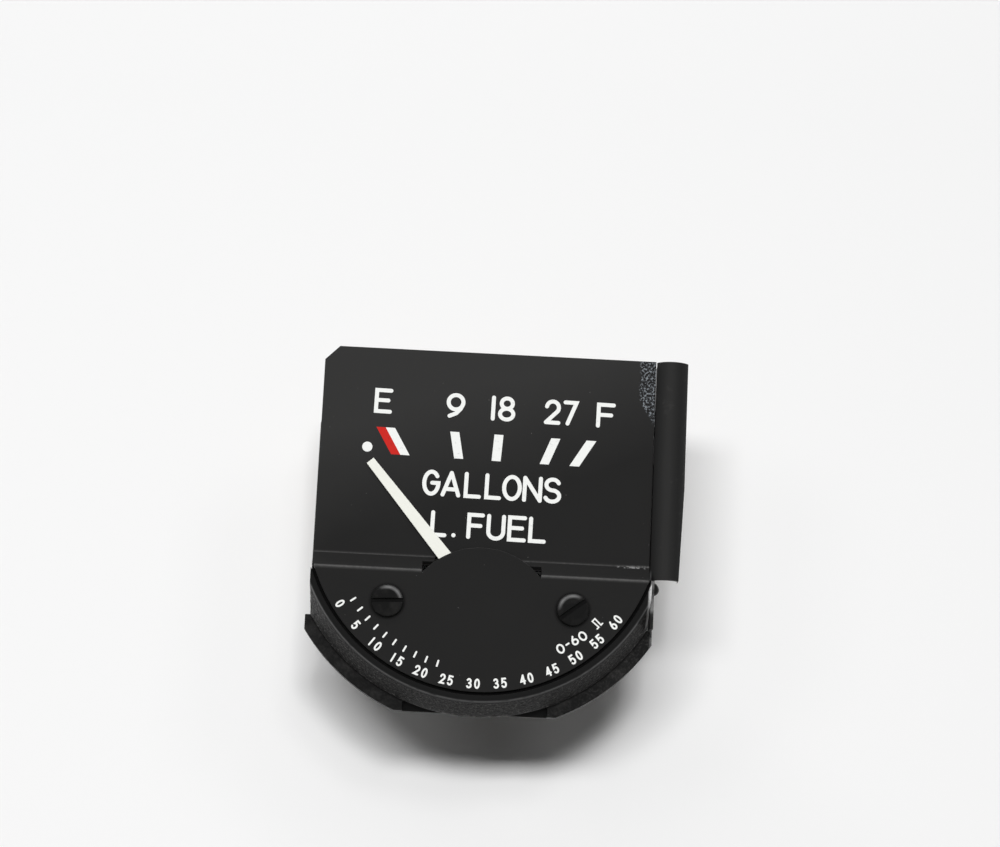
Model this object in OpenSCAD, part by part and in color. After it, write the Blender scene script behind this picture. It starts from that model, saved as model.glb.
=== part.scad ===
// Aircraft cluster fuel gauge: a balanced two-coil movement in a flanged case, with a stepped dial.
// Frame: +Z up, the dial faces -Y, and the origin is the middle of the case's flat back face.
// Depths (names that end in _d) are measured from the face of the dial's lower half, backwards.

/* [Dial plate] */
// Width of the dial plate, left edge to light shield
dial_w = 44.25; // [43.5:0.05:44.5]
// Height of the dial plate's top edge above the case axis
dial_top = 22.25; // [21.5:0.05:23]
// Radius of the dial plate's round lower edge
dial_r = 23.2; // [22.8:0.05:23.4]
// Thickness of the dial sheet
dial_t = 0.8; // [0.6:0.05:0.9]
// Depth of the step between the lower and the upper half of the dial
dial_step = 1.6; // [1.4:0.05:1.8]
// Height of the step's front edge, above the case axis
step_z = -7.6; // [-8:0.1:-7]
// Height that the step takes on the dial
step_h = 2.05; // [1.8:0.05:2.4]
// Radius of the tongue that covers the pointer's hub
tongue_r = 10.1; // [9:0.1:11]
// Height of the tongue's top, above the case axis
tongue_top = -4.3; // [-4.8:0.1:-4]
// Size of the cut corner at the top left
corner_cut = 1.9; // [1:0.1:2.5]

/* [Pointer] */
// Height of the pointer's axis above the case axis
pivot_z = -11.2; // [-11.8:0.1:-11]
// Length of the pointer from its axis to its tip
pointer_l = 23.7; // [20:0.1:24.2]
// Width of the pointer at its tip
pointer_tip_w = 1.17; // [0.8:0.01:1.4]
// Width of the pointer at its axis
pointer_root_w = 2.05; // [1.6:0.05:2.2]
// Angle of the resting pointer, left of upright
rest_angle = 40.6; // [38:0.1:41]
// Angle that the pointer turns through, from its rest to its upper stop
travel = 74; // [60:1:76]

/* [Case] */
// Depth of the case, from the dial's lower face to the back face
case_depth = 22; // [22:0.5:24]
// Outer radius of the case's front shell at its rear edge
shell_r = 26; // [25.5:0.1:26.1]
// Outer radius of the case's lip, next to the dial
lip_r = 24.5; // [24.3:0.1:24.8]
// Half width between the flats on the case's sides
flat_x = 22.3; // [22.2:0.05:22.4]
// Height of the flat on the case's top
flat_top = 21.5; // [21:0.1:21.8]
// Radius of the four mounting ears
ear_r = 27.65; // [27.5:0.05:28.5]
// Thickness of the ears and their flange
ear_t = 2.2; // [2:0.1:2.4]
// Width of the recess between the two lower ears
recess_w = 19; // [17:0.5:21]
// Distance of the flange's flat foot from the case axis
foot_z = 25.5; // [25.3:0.05:25.8]
// Outer radius of the round can behind the ears
can_r = 20.8; // [20.8:0.1:21]

/* [Light shield] */
// Height of the light shield's lower end
shield_low = -7.35; // [-7.6:0.05:-6.5]
// Width of the light shield's rolled strip
shield_w = 4.2; // [3.9:0.1:4.4]
// Outer radius of the rolled strip
shield_roll_r = 2.7; // [2.5:0.1:3.2]
// Thickness of the light shield's sheet
shield_t = 0.45; // [0.35:0.05:0.5]

/* [Terminals] */
// Spacing of the three terminal studs
stud_pitch = 12; // [11:0.5:12]
// Height of the terminal studs above the case axis
stud_z = 7; // [6.8:0.1:7.4]
// Diameter of the studs' thread
stud_d = 4.16; // [3.9:0.01:4.2]
// Free length of each stud behind its outer nut
stud_free = 6; // [4:0.5:8]

/* [Hidden] */
$fn = 72;

cut = 1;                                  // spare length of a cutting solid
dial_left = -22.2;
dial_right = dial_left + dial_w;
bend_r = 0.7;                             // inner bend radius of the dial's step
step_top = step_z + step_h;
window_x = 7.8;                           // half width of the pointer's window under the tongue
window_z = -6.3;                          // its top beside the tongue
window_left = 6.2;                        // it is higher where the pointer passes, to these sides
window_right = 4.8;
tongue_z = tongue_top - tongue_r;
dial_screw_x = 12.1;
dial_screw_z = -11.95;

// Small slotted pan-head screws, one size for the whole gauge
screw_r = 1.05;
screw_hole_r = 1.12;
head_r = 2.12;
head_h = 1.2;
slot_w = 0.62;
slot_depth = 0.65;

// Depths of the front shell, gasket and flange
lip_d = -0.3;
seat_d = 0.95;                            // floor of the recess that the dial lies in
upper_d = dial_step + dial_t + 0.1;       // front of the shell behind the dial's upper half
shell_d = 5.3;
gasket_t = 0.3;
flange_d = shell_d + gasket_t;
wall = 1.7;
back_wall = 1.8;
cavity_r = can_r - 1.3;
cavity_end_d = case_depth - back_wall;
ear_flat = flat_x + 0.7;                  // the lower ears' half width; the upper ones end at the flats
ear_side_z = 13.4;                        // the ears begin this far above and below the axis
flange_r = 24.6;
ear_seat_t = 0.1;                         // the ears' seats stand back from the gasket's face
ear_seat_r = shell_r + 0.15;
recess_t = 1.2;                           // depth of the recess between the lower ears
spot_t = 0.3;                             // depth of the spot-faced seats in the back face
spot_r = 5.2;                             // clears the terminal nuts' corners
case_screw_x = 16.9;
case_screw_z = 16.2;

// Depths of the movement
blade_d = 1.05;
blade_t = 0.3;
tail_l = 6.6;
weight_r = 5.5;                           // distance of the counterweight from the axis
shaft_r = 0.5;
running_gap = 0.03;
bridge_t = 1.2;
front_bridge_d = 6.2;
back_bridge_d = case_depth - 5.2;
inner_d = front_bridge_d + bridge_t;      // between the two bridges
movement_h = back_bridge_d - inner_d;
coil_d = inner_d + movement_h / 2;
pillar_r = 1.6;
corner_r = 2.2;
top_pillar_z = 0.5;
movement_screw_x = 9.5;
movement_screw_z = 13.5;
low_screw_z = -16.6;

// The coils stand on lines through the pointer's axis
coil_angle = 50;
core_r = 2;
coil_in = 6.6;                            // distances along a coil's line, from the pointer's axis
coil_out = 17.8;
cheek_t = 1;
cheek_w = 10;
barrel_r = 2.6;
winding_r = 4.3;
shoe_in = 5;
shoe_angle = 32;
shoe_h = 5.2;
armature_r = 4.5;
armature_t = 1.2;
armature_h = 4.5;
sleeve_r = 1.2;
yoke_t = 1.4;
yoke_bar_z = 4.3;

stop_r = 5;
stop_pin_r = 0.4;
stop_gap = 0.05;

// Depths of the terminal stacks
stud_r = stud_d / 2;
stud_hole_r = stud_r + 0.04;
lug_t = 0.4;
stud_head_t = 0.9;
bush_flange_t = 0.6;
fibre_t = 0.8;
plain_t = 0.6;
lock_t = 0.8;
nut_t = 3.2;
nut_flat = 8.73;
lug_d = cavity_end_d - bush_flange_t - lug_t;
fibre_d = case_depth - spot_t;
plain_d = fibre_d + fibre_t;
lock_d = plain_d + plain_t;
nut_d = lock_d + lock_t;
lug_nut_d = nut_d + nut_t;
nut_end_d = lug_nut_d + nut_t;
stud_end_d = nut_end_d + stud_free;
neck = 0.6;                               // thread relief inside the outer nut's last turn
neck_cut = 0.25;

// Resistor card behind the coils' upper end
card_w = 18;
card_h = 7;
card_t = 0.8;
card_z = 11.5;
card_d = back_bridge_d - 2.4;
resistor_post_x = 7.8;

function arc(cx, cy, r, a0, a1, n) = [for (i = [0:n])
    let (a = a0 + (a1 - a0) * i / n) [cx + r * cos(a), cy + r * sin(a)]];

// Carries an outline in X and Z back from depth d0 to depth d1
module slab(d0, d1) {
    translate([0, d1 - case_depth, 0]) rotate([90, 0, 0]) linear_extrude(d1 - d0) children();
}

module rod(x, z, d0, d1, r) {
    translate([x, d1 - case_depth, z]) rotate([90, 0, 0]) cylinder(h = d1 - d0, r = r);
}

module tube(x, z, d0, d1, r, hole) {
    difference() {
        rod(x, z, d0, d1, r);
        rod(x, z, d0 - cut, d1 + cut, hole);
    }
}

// Turns a profile of [radius, depth] points about the case axis
module turned(profile) {
    rotate([-90, 0, 0]) rotate_extrude($fn = 180) polygon([for (p = profile) [p[0], p[1] - case_depth]]);
}

// Children are drawn at the pointer's axis, turned clockwise from upright as seen from the front
module at_pivot(angle) {
    translate([0, 0, pivot_z]) rotate([0, angle, 0]) children();
}

// A convex outline round its corner points, which run anticlockwise, with each corner an arc
function edge_angle(a, b) = atan2(b[1] - a[1], b[0] - a[0]);
module rounded_outline(pts, r) {
    n = len(pts);
    polygon([for (i = [0:n - 1])
        let (start = edge_angle(pts[(i + n - 1) % n], pts[i]) - 90,
             turn = (edge_angle(pts[i], pts[(i + 1) % n]) - 90 - start + 720) % 360)
        for (p = arc(pts[i][0], pts[i][1], r, start, start + turn, 8)) p]);
}

// Pan-head screw that points forward, with its head's seat at depth d; the slot lies at slot_angle
module screw_from_behind(x, z, d, length, slot_angle) {
    translate([x, d - case_depth, z]) rotate([90, 0, 0]) screw(length, slot_angle);
}

module screw_from_front(x, z, d, length, slot_angle) {
    translate([x, d - case_depth, z]) rotate([-90, 0, 0]) screw(length, -slot_angle);
}

module screw(length, slot_angle) {
    cylinder(h = length, r = screw_r);
    difference() {
        rotate([180, 0, 0]) rotate_extrude() polygon(concat([[0, 0], [head_r, 0]],
            arc(head_r - 0.45, head_h - 0.45, 0.45, 0, 90, 6), [[0, head_h]]));
        rotate([0, 0, slot_angle]) translate([-head_r - cut, -slot_w / 2, -head_h - cut])
            cube([2 * (head_r + cut), slot_w, cut + slot_depth]);
    }
}

// The dial

// The sheet's section in depth and height, bent twice to make the step
function step_side(offset) = let (a = atan2(dial_step, step_h)) concat(
    [[offset, -30]],
    [for (i = [0:5]) let (t = a * i / 5) [offset + bend_face(offset, true) * (1 - cos(t)),
        step_z + bend_low(offset, a) + bend_face(offset, true) * sin(t)]],
    [for (i = [5:-1:0]) let (t = a * i / 5) [dial_step + offset - bend_face(offset, false) * (1 - cos(t)),
        step_top + bend_high(offset, a) - bend_face(offset, false) * sin(t)]],
    [[dial_step + offset, 30]]);
function bend_face(offset, low) = low ? bend_r + dial_t - offset : bend_r + offset;
function bend_low(offset, a) = -bend_face(offset, true) * tan(a / 2) - offset * tan(a / 2);
function bend_high(offset, a) = bend_face(offset, false) * tan(a / 2) - offset * tan(a / 2);

module step_sheet() {
    profile = concat(step_side(0), [for (i = [13:-1:0]) step_side(dial_t)[i]]);
    translate([-30, -case_depth, 0]) rotate([90, 0, 90]) linear_extrude(60) polygon(profile);
}

module dial_outline() {
    intersection() {
        union() {
            circle(dial_r, $fn = 180);
            translate([-30, step_z + 0.2]) square([60, 40]);
        }
        polygon([[dial_left, -30], [dial_right, -30], [dial_right, dial_top],
                 [dial_left + corner_cut, dial_top], [dial_left, dial_top - corner_cut]]);
    }
}

module tongue_outline() {
    intersection() {
        translate([0, tongue_z]) circle(tongue_r, $fn = 120);
        translate([-30, step_z - 1.5]) square([60, 10]);
    }
}

module window_outline() {
    low = step_z - 0.9;
    translate([-window_x, low]) square([2 * window_x, window_z - low]);
    translate([-window_left, low]) square([window_left + window_right, step_top + 0.05 - low]);
}

module dial_plate() {
    color("#1c1c1e") difference() {
        union() {
            difference() {
                intersection() {
                    step_sheet();
                    slab(-1, 4) dial_outline();
                }
                slab(-1, 4) window_outline();
            }
            slab(0, dial_t) tongue_outline();
        }
        for (s = [-1, 1]) rod(s * dial_screw_x, dial_screw_z, -cut, dial_t + cut, screw_hole_r);
    }
}

module dial_screws() {
    color("#17181a") {
        screw_from_front(-dial_screw_x, dial_screw_z, 0, 3.6, 0);
        screw_from_front(dial_screw_x, dial_screw_z, 0, 3.6, 42);
    }
}

module dial_pillars() {
    color("#b9a15a") for (s = [-1, 1]) {
        difference() {
            translate([s * dial_screw_x, front_bridge_d - case_depth, dial_screw_z]) rotate([90, 0, 0])
                cylinder(h = front_bridge_d - dial_t, r = 1.9, $fn = 6);
            rod(s * dial_screw_x, dial_screw_z, dial_t - cut, dial_t + 3.8, screw_r + 0.02);
        }
        rod(s * dial_screw_x, dial_screw_z, front_bridge_d, inner_d + 1.8, screw_r);
    }
}

// The light shield: a tab on the case's right flat that rolls forward into a half-round strip

module light_shield() {
    roll_d = 0.2 + shield_roll_r;
    left = flat_x;
    half = shield_w / 2;
    spread = asin(half / shield_roll_r);
    mid = left - 0.2 + half;
    right = mid + half;
    outer = arc(mid, roll_d, shield_roll_r, 270 - spread, 270 + spread, 14);
    inner_r = shield_roll_r - shield_t;
    inner_spread = asin((half - shield_t) / inner_r);
    inner = arc(mid, roll_d, inner_r, 270 + inner_spread, 270 - inner_spread, 14);
    section = concat(outer, [[right, 3.2], [right - shield_t, 3.2]], inner,
                     [[left + shield_t, 2.4], [left + shield_t, 4.8], [left, 4.8], [left, 2.4]]);
    color("#1b1b1d") difference() {
        union() {
            intersection() {
                translate([0, -case_depth, shield_low]) linear_extrude(dial_top - 0.2 - shield_low)
                    polygon(section);
                slab(-1, 6) polygon([[left - 1, -30], [right - 0.45, shield_low],
                                     [right, 5], [right, 30], [left - 1, 30]]);
            }
            translate([left, 1.3 - case_depth, -13.75]) cube([shield_t, 3.5, 8]);
        }
        shield_rivet_places() cylinder(h = 4, r = 0.42, center = true);
    }
}

// The rivets' axes run along X, one through the tab below the strip
module shield_rivet_places() {
    for (p = [[2.2, -8.4], [3.9, 2], [3.9, 11]])
        translate([flat_x + shield_t, p[0] - case_depth, p[1]]) rotate([0, 90, 0]) children();
}

module shield_rivets() {
    color("#141415") shield_rivet_places() {
        translate([0, 0, -shield_t - 1.2]) cylinder(h = shield_t + 1.2, r = 0.4);
        rotate_extrude() polygon(concat([[0, 0]], arc(0, -0.2, 0.9, 12.8, 90, 8)));
    }
}

// The moving parts

module pointer() {
    color("#f3f1e4") at_pivot(-rest_angle) slab(blade_d, blade_d + blade_t) difference() {
        union() {
            polygon([[-pointer_root_w / 2, 0], [pointer_root_w / 2, 0],
                     [pointer_tip_w / 2, pointer_l], [-pointer_tip_w / 2, pointer_l]]);
            translate([-0.6, -tail_l]) square([1.2, tail_l]);
            circle(1.6);
            translate([0, -weight_r]) circle(1.1);
        }
        circle(shaft_r);
    }
}

module pointer_hub() {
    color("#b9a15a") difference() {
        union() {
            rod(0, pivot_z, blade_d + blade_t, blade_d + blade_t + 0.5, 1.6);
            rod(0, pivot_z, blade_d + blade_t, 3.4, 1.1);
        }
        rod(0, pivot_z, 0, 4, shaft_r);
    }
}

module counterweight() {
    color("#b9a15a") at_pivot(180 - rest_angle)
        rod(0, weight_r, blade_d + blade_t, blade_d + blade_t + 1.5, 1.1);
}

module pointer_shaft() {
    color("#a7abb0") rod(0, pivot_z, 1, back_bridge_d + 0.7, shaft_r);
}

module armature_sleeve() {
    color("#b9a15a") tube(0, pivot_z, coil_d - 3.2, coil_d + 3.2, sleeve_r, shaft_r);
}

module armature() {
    color("#7c7f84") at_pivot(-rest_angle)
    slab(coil_d - armature_h / 2, coil_d + armature_h / 2) difference() {
        union() {
            intersection() {
                circle(armature_r);
                translate([-armature_r, -armature_t / 2]) square([2 * armature_r, armature_t]);
            }
            circle(sleeve_r + 0.6);
        }
        circle(sleeve_r);
    }
}

// The fixed frame of the movement

module front_bridge() {
    color("#a9adb2") difference() {
        slab(front_bridge_d, inner_d) rounded_outline([[-dial_screw_x, dial_screw_z],
            [dial_screw_x, dial_screw_z], [9, 3], [-9, 3]], corner_r);
        for (s = [-1, 1]) rod(s * dial_screw_x, dial_screw_z, 0, 10, screw_hole_r);
        rod(0, top_pillar_z, 0, 10, screw_hole_r);
        rod(0, pivot_z, 0, 10, 1.6);
        stop_pin_rods(stop_pin_r);
    }
}

module back_bridge() {
    color("#a9adb2") difference() {
        slab(back_bridge_d, back_bridge_d + bridge_t) rounded_outline([[-dial_screw_x, dial_screw_z],
            [0, low_screw_z], [dial_screw_x, dial_screw_z], [movement_screw_x, movement_screw_z],
            [-movement_screw_x, movement_screw_z]], corner_r);
        bridge_screw_places() rod(0, 0, 0, 30, screw_hole_r);
        movement_screw_places() rod(0, 0, 0, 30, screw_r + 0.02);
        for (s = [-1, 1]) rod(s * resistor_post_x, card_z, 0, 30, 0.7);
        rod(0, stud_z + 5, 0, 30, 1);
        rod(0, pivot_z, 0, 30, 1.6);
    }
}

module bridge_screw_places() {
    for (p = [[-dial_screw_x, dial_screw_z], [dial_screw_x, dial_screw_z], [0, top_pillar_z]])
        translate([p[0], 0, p[1]]) children();
}

module movement_screw_places() {
    for (p = [[-movement_screw_x, movement_screw_z], [movement_screw_x, movement_screw_z], [0, low_screw_z]])
        translate([p[0], 0, p[1]]) children();
}

module bridge_pillars() {
    color("#b9a15a") bridge_screw_places() tube(0, 0, inner_d, back_bridge_d, pillar_r, screw_r + 0.02);
}

module bridge_screws() {
    color("#8d9196") {
        bridge_screw_places() screw_from_behind(0, 0, back_bridge_d + bridge_t, 4.2, 20);
        screw_from_front(0, top_pillar_z, front_bridge_d, 3.6, 65);
    }
}

// Each stop stands where the pointer's edge meets it at the end of its travel
module stop_pin_rods(r) {
    half_w = pointer_root_w / 2 - (pointer_root_w - pointer_tip_w) / 2 * stop_r / pointer_l;
    lead = asin((half_w + stop_pin_r + stop_gap) / stop_r);
    for (a = [-rest_angle - lead, travel - rest_angle + lead])
        rod(stop_r * sin(a), pivot_z + stop_r * cos(a), 1, inner_d, r);
}

module stop_pins() {
    color("#a7abb0") stop_pin_rods(stop_pin_r);
}

module front_bearing() {
    color("#8c2f3b") difference() {
        union() {
            rod(0, pivot_z, front_bridge_d - 0.5, front_bridge_d, corner_r);
            rod(0, pivot_z, front_bridge_d, inner_d, 1.6);
        }
        rod(0, pivot_z, 0, 10, shaft_r + running_gap);
    }
}

module back_bearing() {
    color("#8c2f3b") difference() {
        union() {
            rod(0, pivot_z, back_bridge_d - 0.5, back_bridge_d, corner_r);
            rod(0, pivot_z, back_bridge_d, back_bridge_d + bridge_t, 1.6);
        }
        rod(0, pivot_z, 10, back_bridge_d + 0.8, shaft_r + running_gap);
    }
}

// A coil is drawn upright along Z, with its distance from the pointer's axis as its height

module at_coil(side) {
    translate([0, coil_d - case_depth, pivot_z]) rotate([0, side * coil_angle, 0]) children();
}

module coil() {
    color("#8f4a24") translate([0, 0, coil_in + cheek_t]) difference() {
        cylinder(h = coil_out - coil_in - 2 * cheek_t, r = winding_r);
        translate([0, 0, -cut]) cylinder(h = 20, r = barrel_r);
    }
}

module bobbin() {
    color("#d8cfae") difference() {
        union() {
            for (z = [coil_in, coil_out - cheek_t])
                translate([-cheek_w / 2, -movement_h / 2, z]) cube([cheek_w, movement_h, cheek_t]);
            translate([0, 0, coil_in]) cylinder(h = coil_out - coil_in, r = barrel_r);
        }
        translate([0, 0, coil_in - cut]) cylinder(h = 20, r = core_r + 0.05);
    }
}

module core() {
    color("#7c7f84") difference() {
        union() {
            translate([0, 0, coil_in - 0.6]) cylinder(h = coil_out - coil_in + 0.6, r = core_r);
            translate([0, shoe_h / 2, 0]) rotate([90, 0, 0]) linear_extrude(shoe_h)
                polygon(concat(arc(0, 0, coil_in - 0.1, 90 - shoe_angle, 90 + shoe_angle, 16),
                               arc(0, 0, shoe_in, 90 + shoe_angle, 90 - shoe_angle, 16)));
        }
        translate([0, 0, coil_out - 4]) cylinder(h = 6, r = screw_r + 0.02);
    }
}

module yoke() {
    color("#7c7f84") difference() {
        slab(coil_d - shoe_h / 2, coil_d + shoe_h / 2) {
            for (s = [-1, 1]) translate([0, pivot_z]) rotate(-s * coil_angle)
                translate([s > 0 ? -6.5 : -4.5, coil_out]) square([11, yoke_t]);
            translate([-10, yoke_bar_z]) square([20, yoke_t]);
        }
        for (s = [-1, 1]) at_coil(s) translate([0, 0, coil_out - cut]) cylinder(h = 4, r = screw_hole_r);
    }
}

module yoke_screws() {
    color("#8d9196") for (s = [-1, 1]) at_coil(s) translate([0, 0, coil_out + yoke_t]) rotate([180, 0, 0])
        screw(4.8, 30);
}

module return_magnet() {
    color("#55585d") slab(back_bridge_d - 2.2, back_bridge_d) translate([4.2, -16.1]) square([4, 1.8]);
}

module resistor_card() {
    color("#c9b98a") slab(card_d, card_d + card_t) difference() {
        translate([-card_w / 2, card_z - card_h / 2]) square([card_w, card_h]);
        for (s = [-1, 1]) translate([s * resistor_post_x, card_z]) circle(0.9);
    }
}

module resistor_winding() {
    grow = 0.6;
    color("#9a6a3a") difference() {
        slab(card_d - grow, card_d + card_t + grow) translate([-6, card_z - card_h / 2 - grow])
            square([12, card_h + 2 * grow]);
        slab(card_d, card_d + card_t) translate([-card_w / 2, card_z - card_h / 2]) square([card_w, card_h]);
    }
}

module resistor_rivets() {
    color("#b9a15a") for (s = [-1, 1]) translate([s * resistor_post_x, 0, card_z]) {
        rod(0, 0, card_d - 0.5, card_d, 1.4);
        rod(0, 0, card_d, card_d + card_t, 0.9);
        rod(0, 0, card_d + card_t, back_bridge_d, 1.2);
        rod(0, 0, back_bridge_d, back_bridge_d + bridge_t, 0.7);
    }
}

// Insulated wires run in straight stretches with round elbows
module wire(points) {
    wire_r = 0.4;
    for (i = [0:len(points) - 2]) {
        a = points[i];
        b = points[i + 1];
        v = b - a;
        translate(a) rotate([0, acos(v[2] / norm(v)), atan2(v[1], v[0])]) cylinder(h = norm(v), r = wire_r);
        if (i > 0) translate(a) sphere(wire_r);
    }
}

module lead_wires() {
    tail_y = lug_d - case_depth;
    low_y = back_bridge_d - 1.1 - case_depth;
    for (s = [-1, 1]) color(s < 0 ? "#3a5f3a" : "#7a2f2a")
        wire([[s * 16.2, tail_y, 5], [s * 16.2, low_y, 5], [s * 15.95, low_y, pivot_z + 9.1]]);
    color("#c9b98a") wire([[0, tail_y, stud_z + 5], [0, card_d + card_t + 0.6 - case_depth, stud_z + 5]]);
    color("#2b2b2e") wire([[-9.3, low_y, 3], [9.3, low_y, 3]]);
}

module stud_places() {
    for (i = [-1:1]) translate([i * stud_pitch, 0, stud_z]) children();
}

module solder_lugs() {
    color("#c3a86a") for (i = [-1:1]) {
        tail = i == 0 ? [0, 5] : [i * 4.2, -2];
        translate([i * stud_pitch, 0, stud_z]) slab(lug_d, lug_d + lug_t) difference() {
            union() {
                circle(3);
                rotate(atan2(tail[1], tail[0])) translate([0, -1]) square([norm(tail), 2]);
                translate(tail) circle(1);
            }
            circle(stud_hole_r);
        }
    }
}

// The case

module shell_outline(r, x, top) {
    intersection() {
        circle(r, $fn = 180);
        translate([-x, -40]) square([2 * x, 40 + top]);
    }
}

module case_screw_places() {
    for (sx = [-1, 1]) for (sz = [-1, 1]) translate([sx * case_screw_x, 0, sz * case_screw_z]) children();
}

module case_front() {
    color("#1e1e20") difference() {
        union() {
            difference() {
                intersection() {
                    turned([[0, lip_d], [lip_r - 0.3, lip_d], [lip_r - 0.08, lip_d + 0.1],
                            [lip_r, lip_d + 0.3], [shell_r, shell_d - 0.5], [shell_r, shell_d],
                            [0, shell_d]]);
                    slab(lip_d - cut, shell_d + cut) shell_outline(30, flat_x, flat_top);
                }
                slab(-2, shell_d + cut) shell_outline(22.4, flat_x - wall, flat_top - wall);
                rod(0, 0, -2, seat_d, dial_r + 0.45);
                slab(-2, upper_d) translate([-30, step_z - 0.5]) square([60, 40]);
            }
            for (sx = [-1, 1]) {
                boss_pad(sx, -1, seat_d);
                boss_pad(sx, 1, upper_d);
            }
        }
        case_screw_places() rod(0, 0, shell_d - 2.2, shell_d + cut, screw_r + 0.02);
        shield_rivet_places() cylinder(h = 6, r = 0.42, center = true);
    }
}

module boss_pad(sx, sz, d0) {
    slab(d0, shell_d) intersection() {
        translate([sx * case_screw_x, sz * case_screw_z]) circle(2.2);
        shell_outline(shell_r - 0.8, flat_x, flat_top);
    }
}

module case_gasket() {
    color("#0f0f10") slab(shell_d, flange_d) difference() {
        union() {
            difference() {
                shell_outline(24.4, flat_x - 0.8, flat_top - 0.8);
                shell_outline(22.5, flat_x - wall, flat_top - wall);
            }
            for (sx = [-1, 1]) for (sz = [-1, 1]) intersection() {
                translate([sx * case_screw_x, sz * case_screw_z]) circle(2);
                shell_outline(flange_r, flat_x, flat_top);
            }
        }
        for (sx = [-1, 1]) for (sz = [-1, 1]) translate([sx * case_screw_x, sz * case_screw_z])
            circle(screw_hole_r);
    }
}

module flange_outline() {
    shell_outline(flange_r, flat_x - 0.7, flat_top - 0.3);
    difference() {
        union() {
            shell_outline(ear_r, flat_x, flat_top);
            shell_outline(ear_r, ear_flat, 0);
        }
        translate([-30, -ear_side_z]) square([60, 2 * ear_side_z]);
        translate([-30, -foot_z - 10]) square([60, 10]);
        translate([-recess_w / 2, 0]) square([recess_w, 30]);
    }
}

module case_back() {
    color("#1c1c1e") difference() {
        union() {
            difference() {
                union() {
                    slab(flange_d, flange_d + ear_t) flange_outline();
                    turned([[0, flange_d + 1], [can_r, flange_d + 1], [can_r, case_depth - 0.8],
                            [can_r - 0.25, case_depth - 0.25], [can_r - 0.8, case_depth], [0, case_depth]]);
                }
                rod(0, 0, 0, cavity_end_d, cavity_r);
            }
            movement_screw_places() rod(0, 0, back_bridge_d + bridge_t, cavity_end_d + 0.5, 2.6);
        }
        movement_screw_places() rod(0, 0, 0, case_depth + cut, screw_hole_r);
        case_screw_places() rod(0, 0, 0, flange_d + ear_t + cut, screw_hole_r);
        stud_places() {
            rod(0, 0, 15, case_depth + cut, stud_r + 0.8);
            rod(0, 0, fibre_d, case_depth + cut, spot_r);
        }
        movement_screw_places() rod(0, 0, case_depth - spot_t, case_depth + cut, head_r + 0.15);
        slab(flange_d - cut, flange_d + ear_seat_t) difference() {
            circle(30);
            circle(ear_seat_r, $fn = 180);
        }
        slab(flange_d - cut, flange_d + recess_t) difference() {
            translate([-recess_w / 2, -30]) square([recess_w, 15]);
            circle(flange_r, $fn = 180);
        }
    }
}

module case_screws() {
    color("#26272a") for (sx = [-1, 1]) for (sz = [-1, 1])
        screw_from_behind(sx * case_screw_x, sz * case_screw_z, flange_d + ear_t, 4.2, 25 * sx + 40 * sz);
}

module movement_screws() {
    color("#8d9196") {
        for (s = [-1, 1])
            screw_from_behind(s * movement_screw_x, movement_screw_z, case_depth - spot_t, 4.7, 35 * s);
        screw_from_behind(0, low_screw_z, case_depth - spot_t, 4.7, 10);
    }
}

// The terminals, each a stud with its bush, washers and two nuts

module terminal_studs() {
    color("#b8a05c") stud_places() {
        rod(0, 0, lug_d, nut_end_d - neck, stud_r);
        rod(0, 0, nut_end_d - neck, nut_end_d, stud_r - neck_cut);
        rod(0, 0, nut_end_d, stud_end_d - 0.5, stud_r);
        translate([0, stud_end_d - 0.5 - case_depth, 0]) rotate([-90, 0, 0])
            cylinder(h = 0.5, r1 = stud_r, r2 = stud_r - 0.45);
        rod(0, 0, lug_d - stud_head_t, lug_d, 3);
    }
}

module stud_bushes() {
    color("#7a5230") stud_places() difference() {
        union() {
            rod(0, 0, cavity_end_d - bush_flange_t, cavity_end_d, 3.5);
            rod(0, 0, cavity_end_d, fibre_d, stud_r + 0.75);
        }
        rod(0, 0, 0, 30, stud_hole_r);
    }
}

module fibre_washers() {
    color("#7a4b32") stud_places() tube(0, 0, fibre_d, plain_d, 4.3, stud_hole_r);
}

module plain_washers() {
    color("#b4b7ba") stud_places() tube(0, 0, plain_d, lock_d, 3.9, stud_hole_r);
}

module lock_washers() {
    color("#8d9196") stud_places() difference() {
        tube(0, 0, lock_d, nut_d, 3.3, stud_hole_r);
        rotate([0, 30, 0]) translate([1.5, lock_d - case_depth - cut, -0.25]) cube([3, 3, 0.5]);
    }
}

module hex_nut(d) {
    difference() {
        translate([0, d + nut_t - case_depth, 0]) rotate([90, 0, 0]) intersection() {
            cylinder(h = nut_t, r = nut_flat / 2 / cos(30), $fn = 6);
            rotate_extrude() polygon([[0, 0], [nut_flat / 2, 0], [nut_flat / 2 + 0.9, 0.5],
                [nut_flat / 2 + 0.9, nut_t - 0.5], [nut_flat / 2, nut_t], [0, nut_t]]);
        }
        rod(0, 0, 0, 60, stud_hole_r);
    }
}

module stud_nuts() {
    color("#b8a05c") for (i = [-1:1]) translate([i * stud_pitch, 0, stud_z]) rotate([0, 12 * i + 5, 0])
        hex_nut(nut_d);
}

module lug_nuts() {
    color("#b8a05c") for (i = [-1:1]) translate([i * stud_pitch, 0, stud_z]) rotate([0, 20 - 17 * i, 0])
        hex_nut(lug_nut_d);
}

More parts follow.
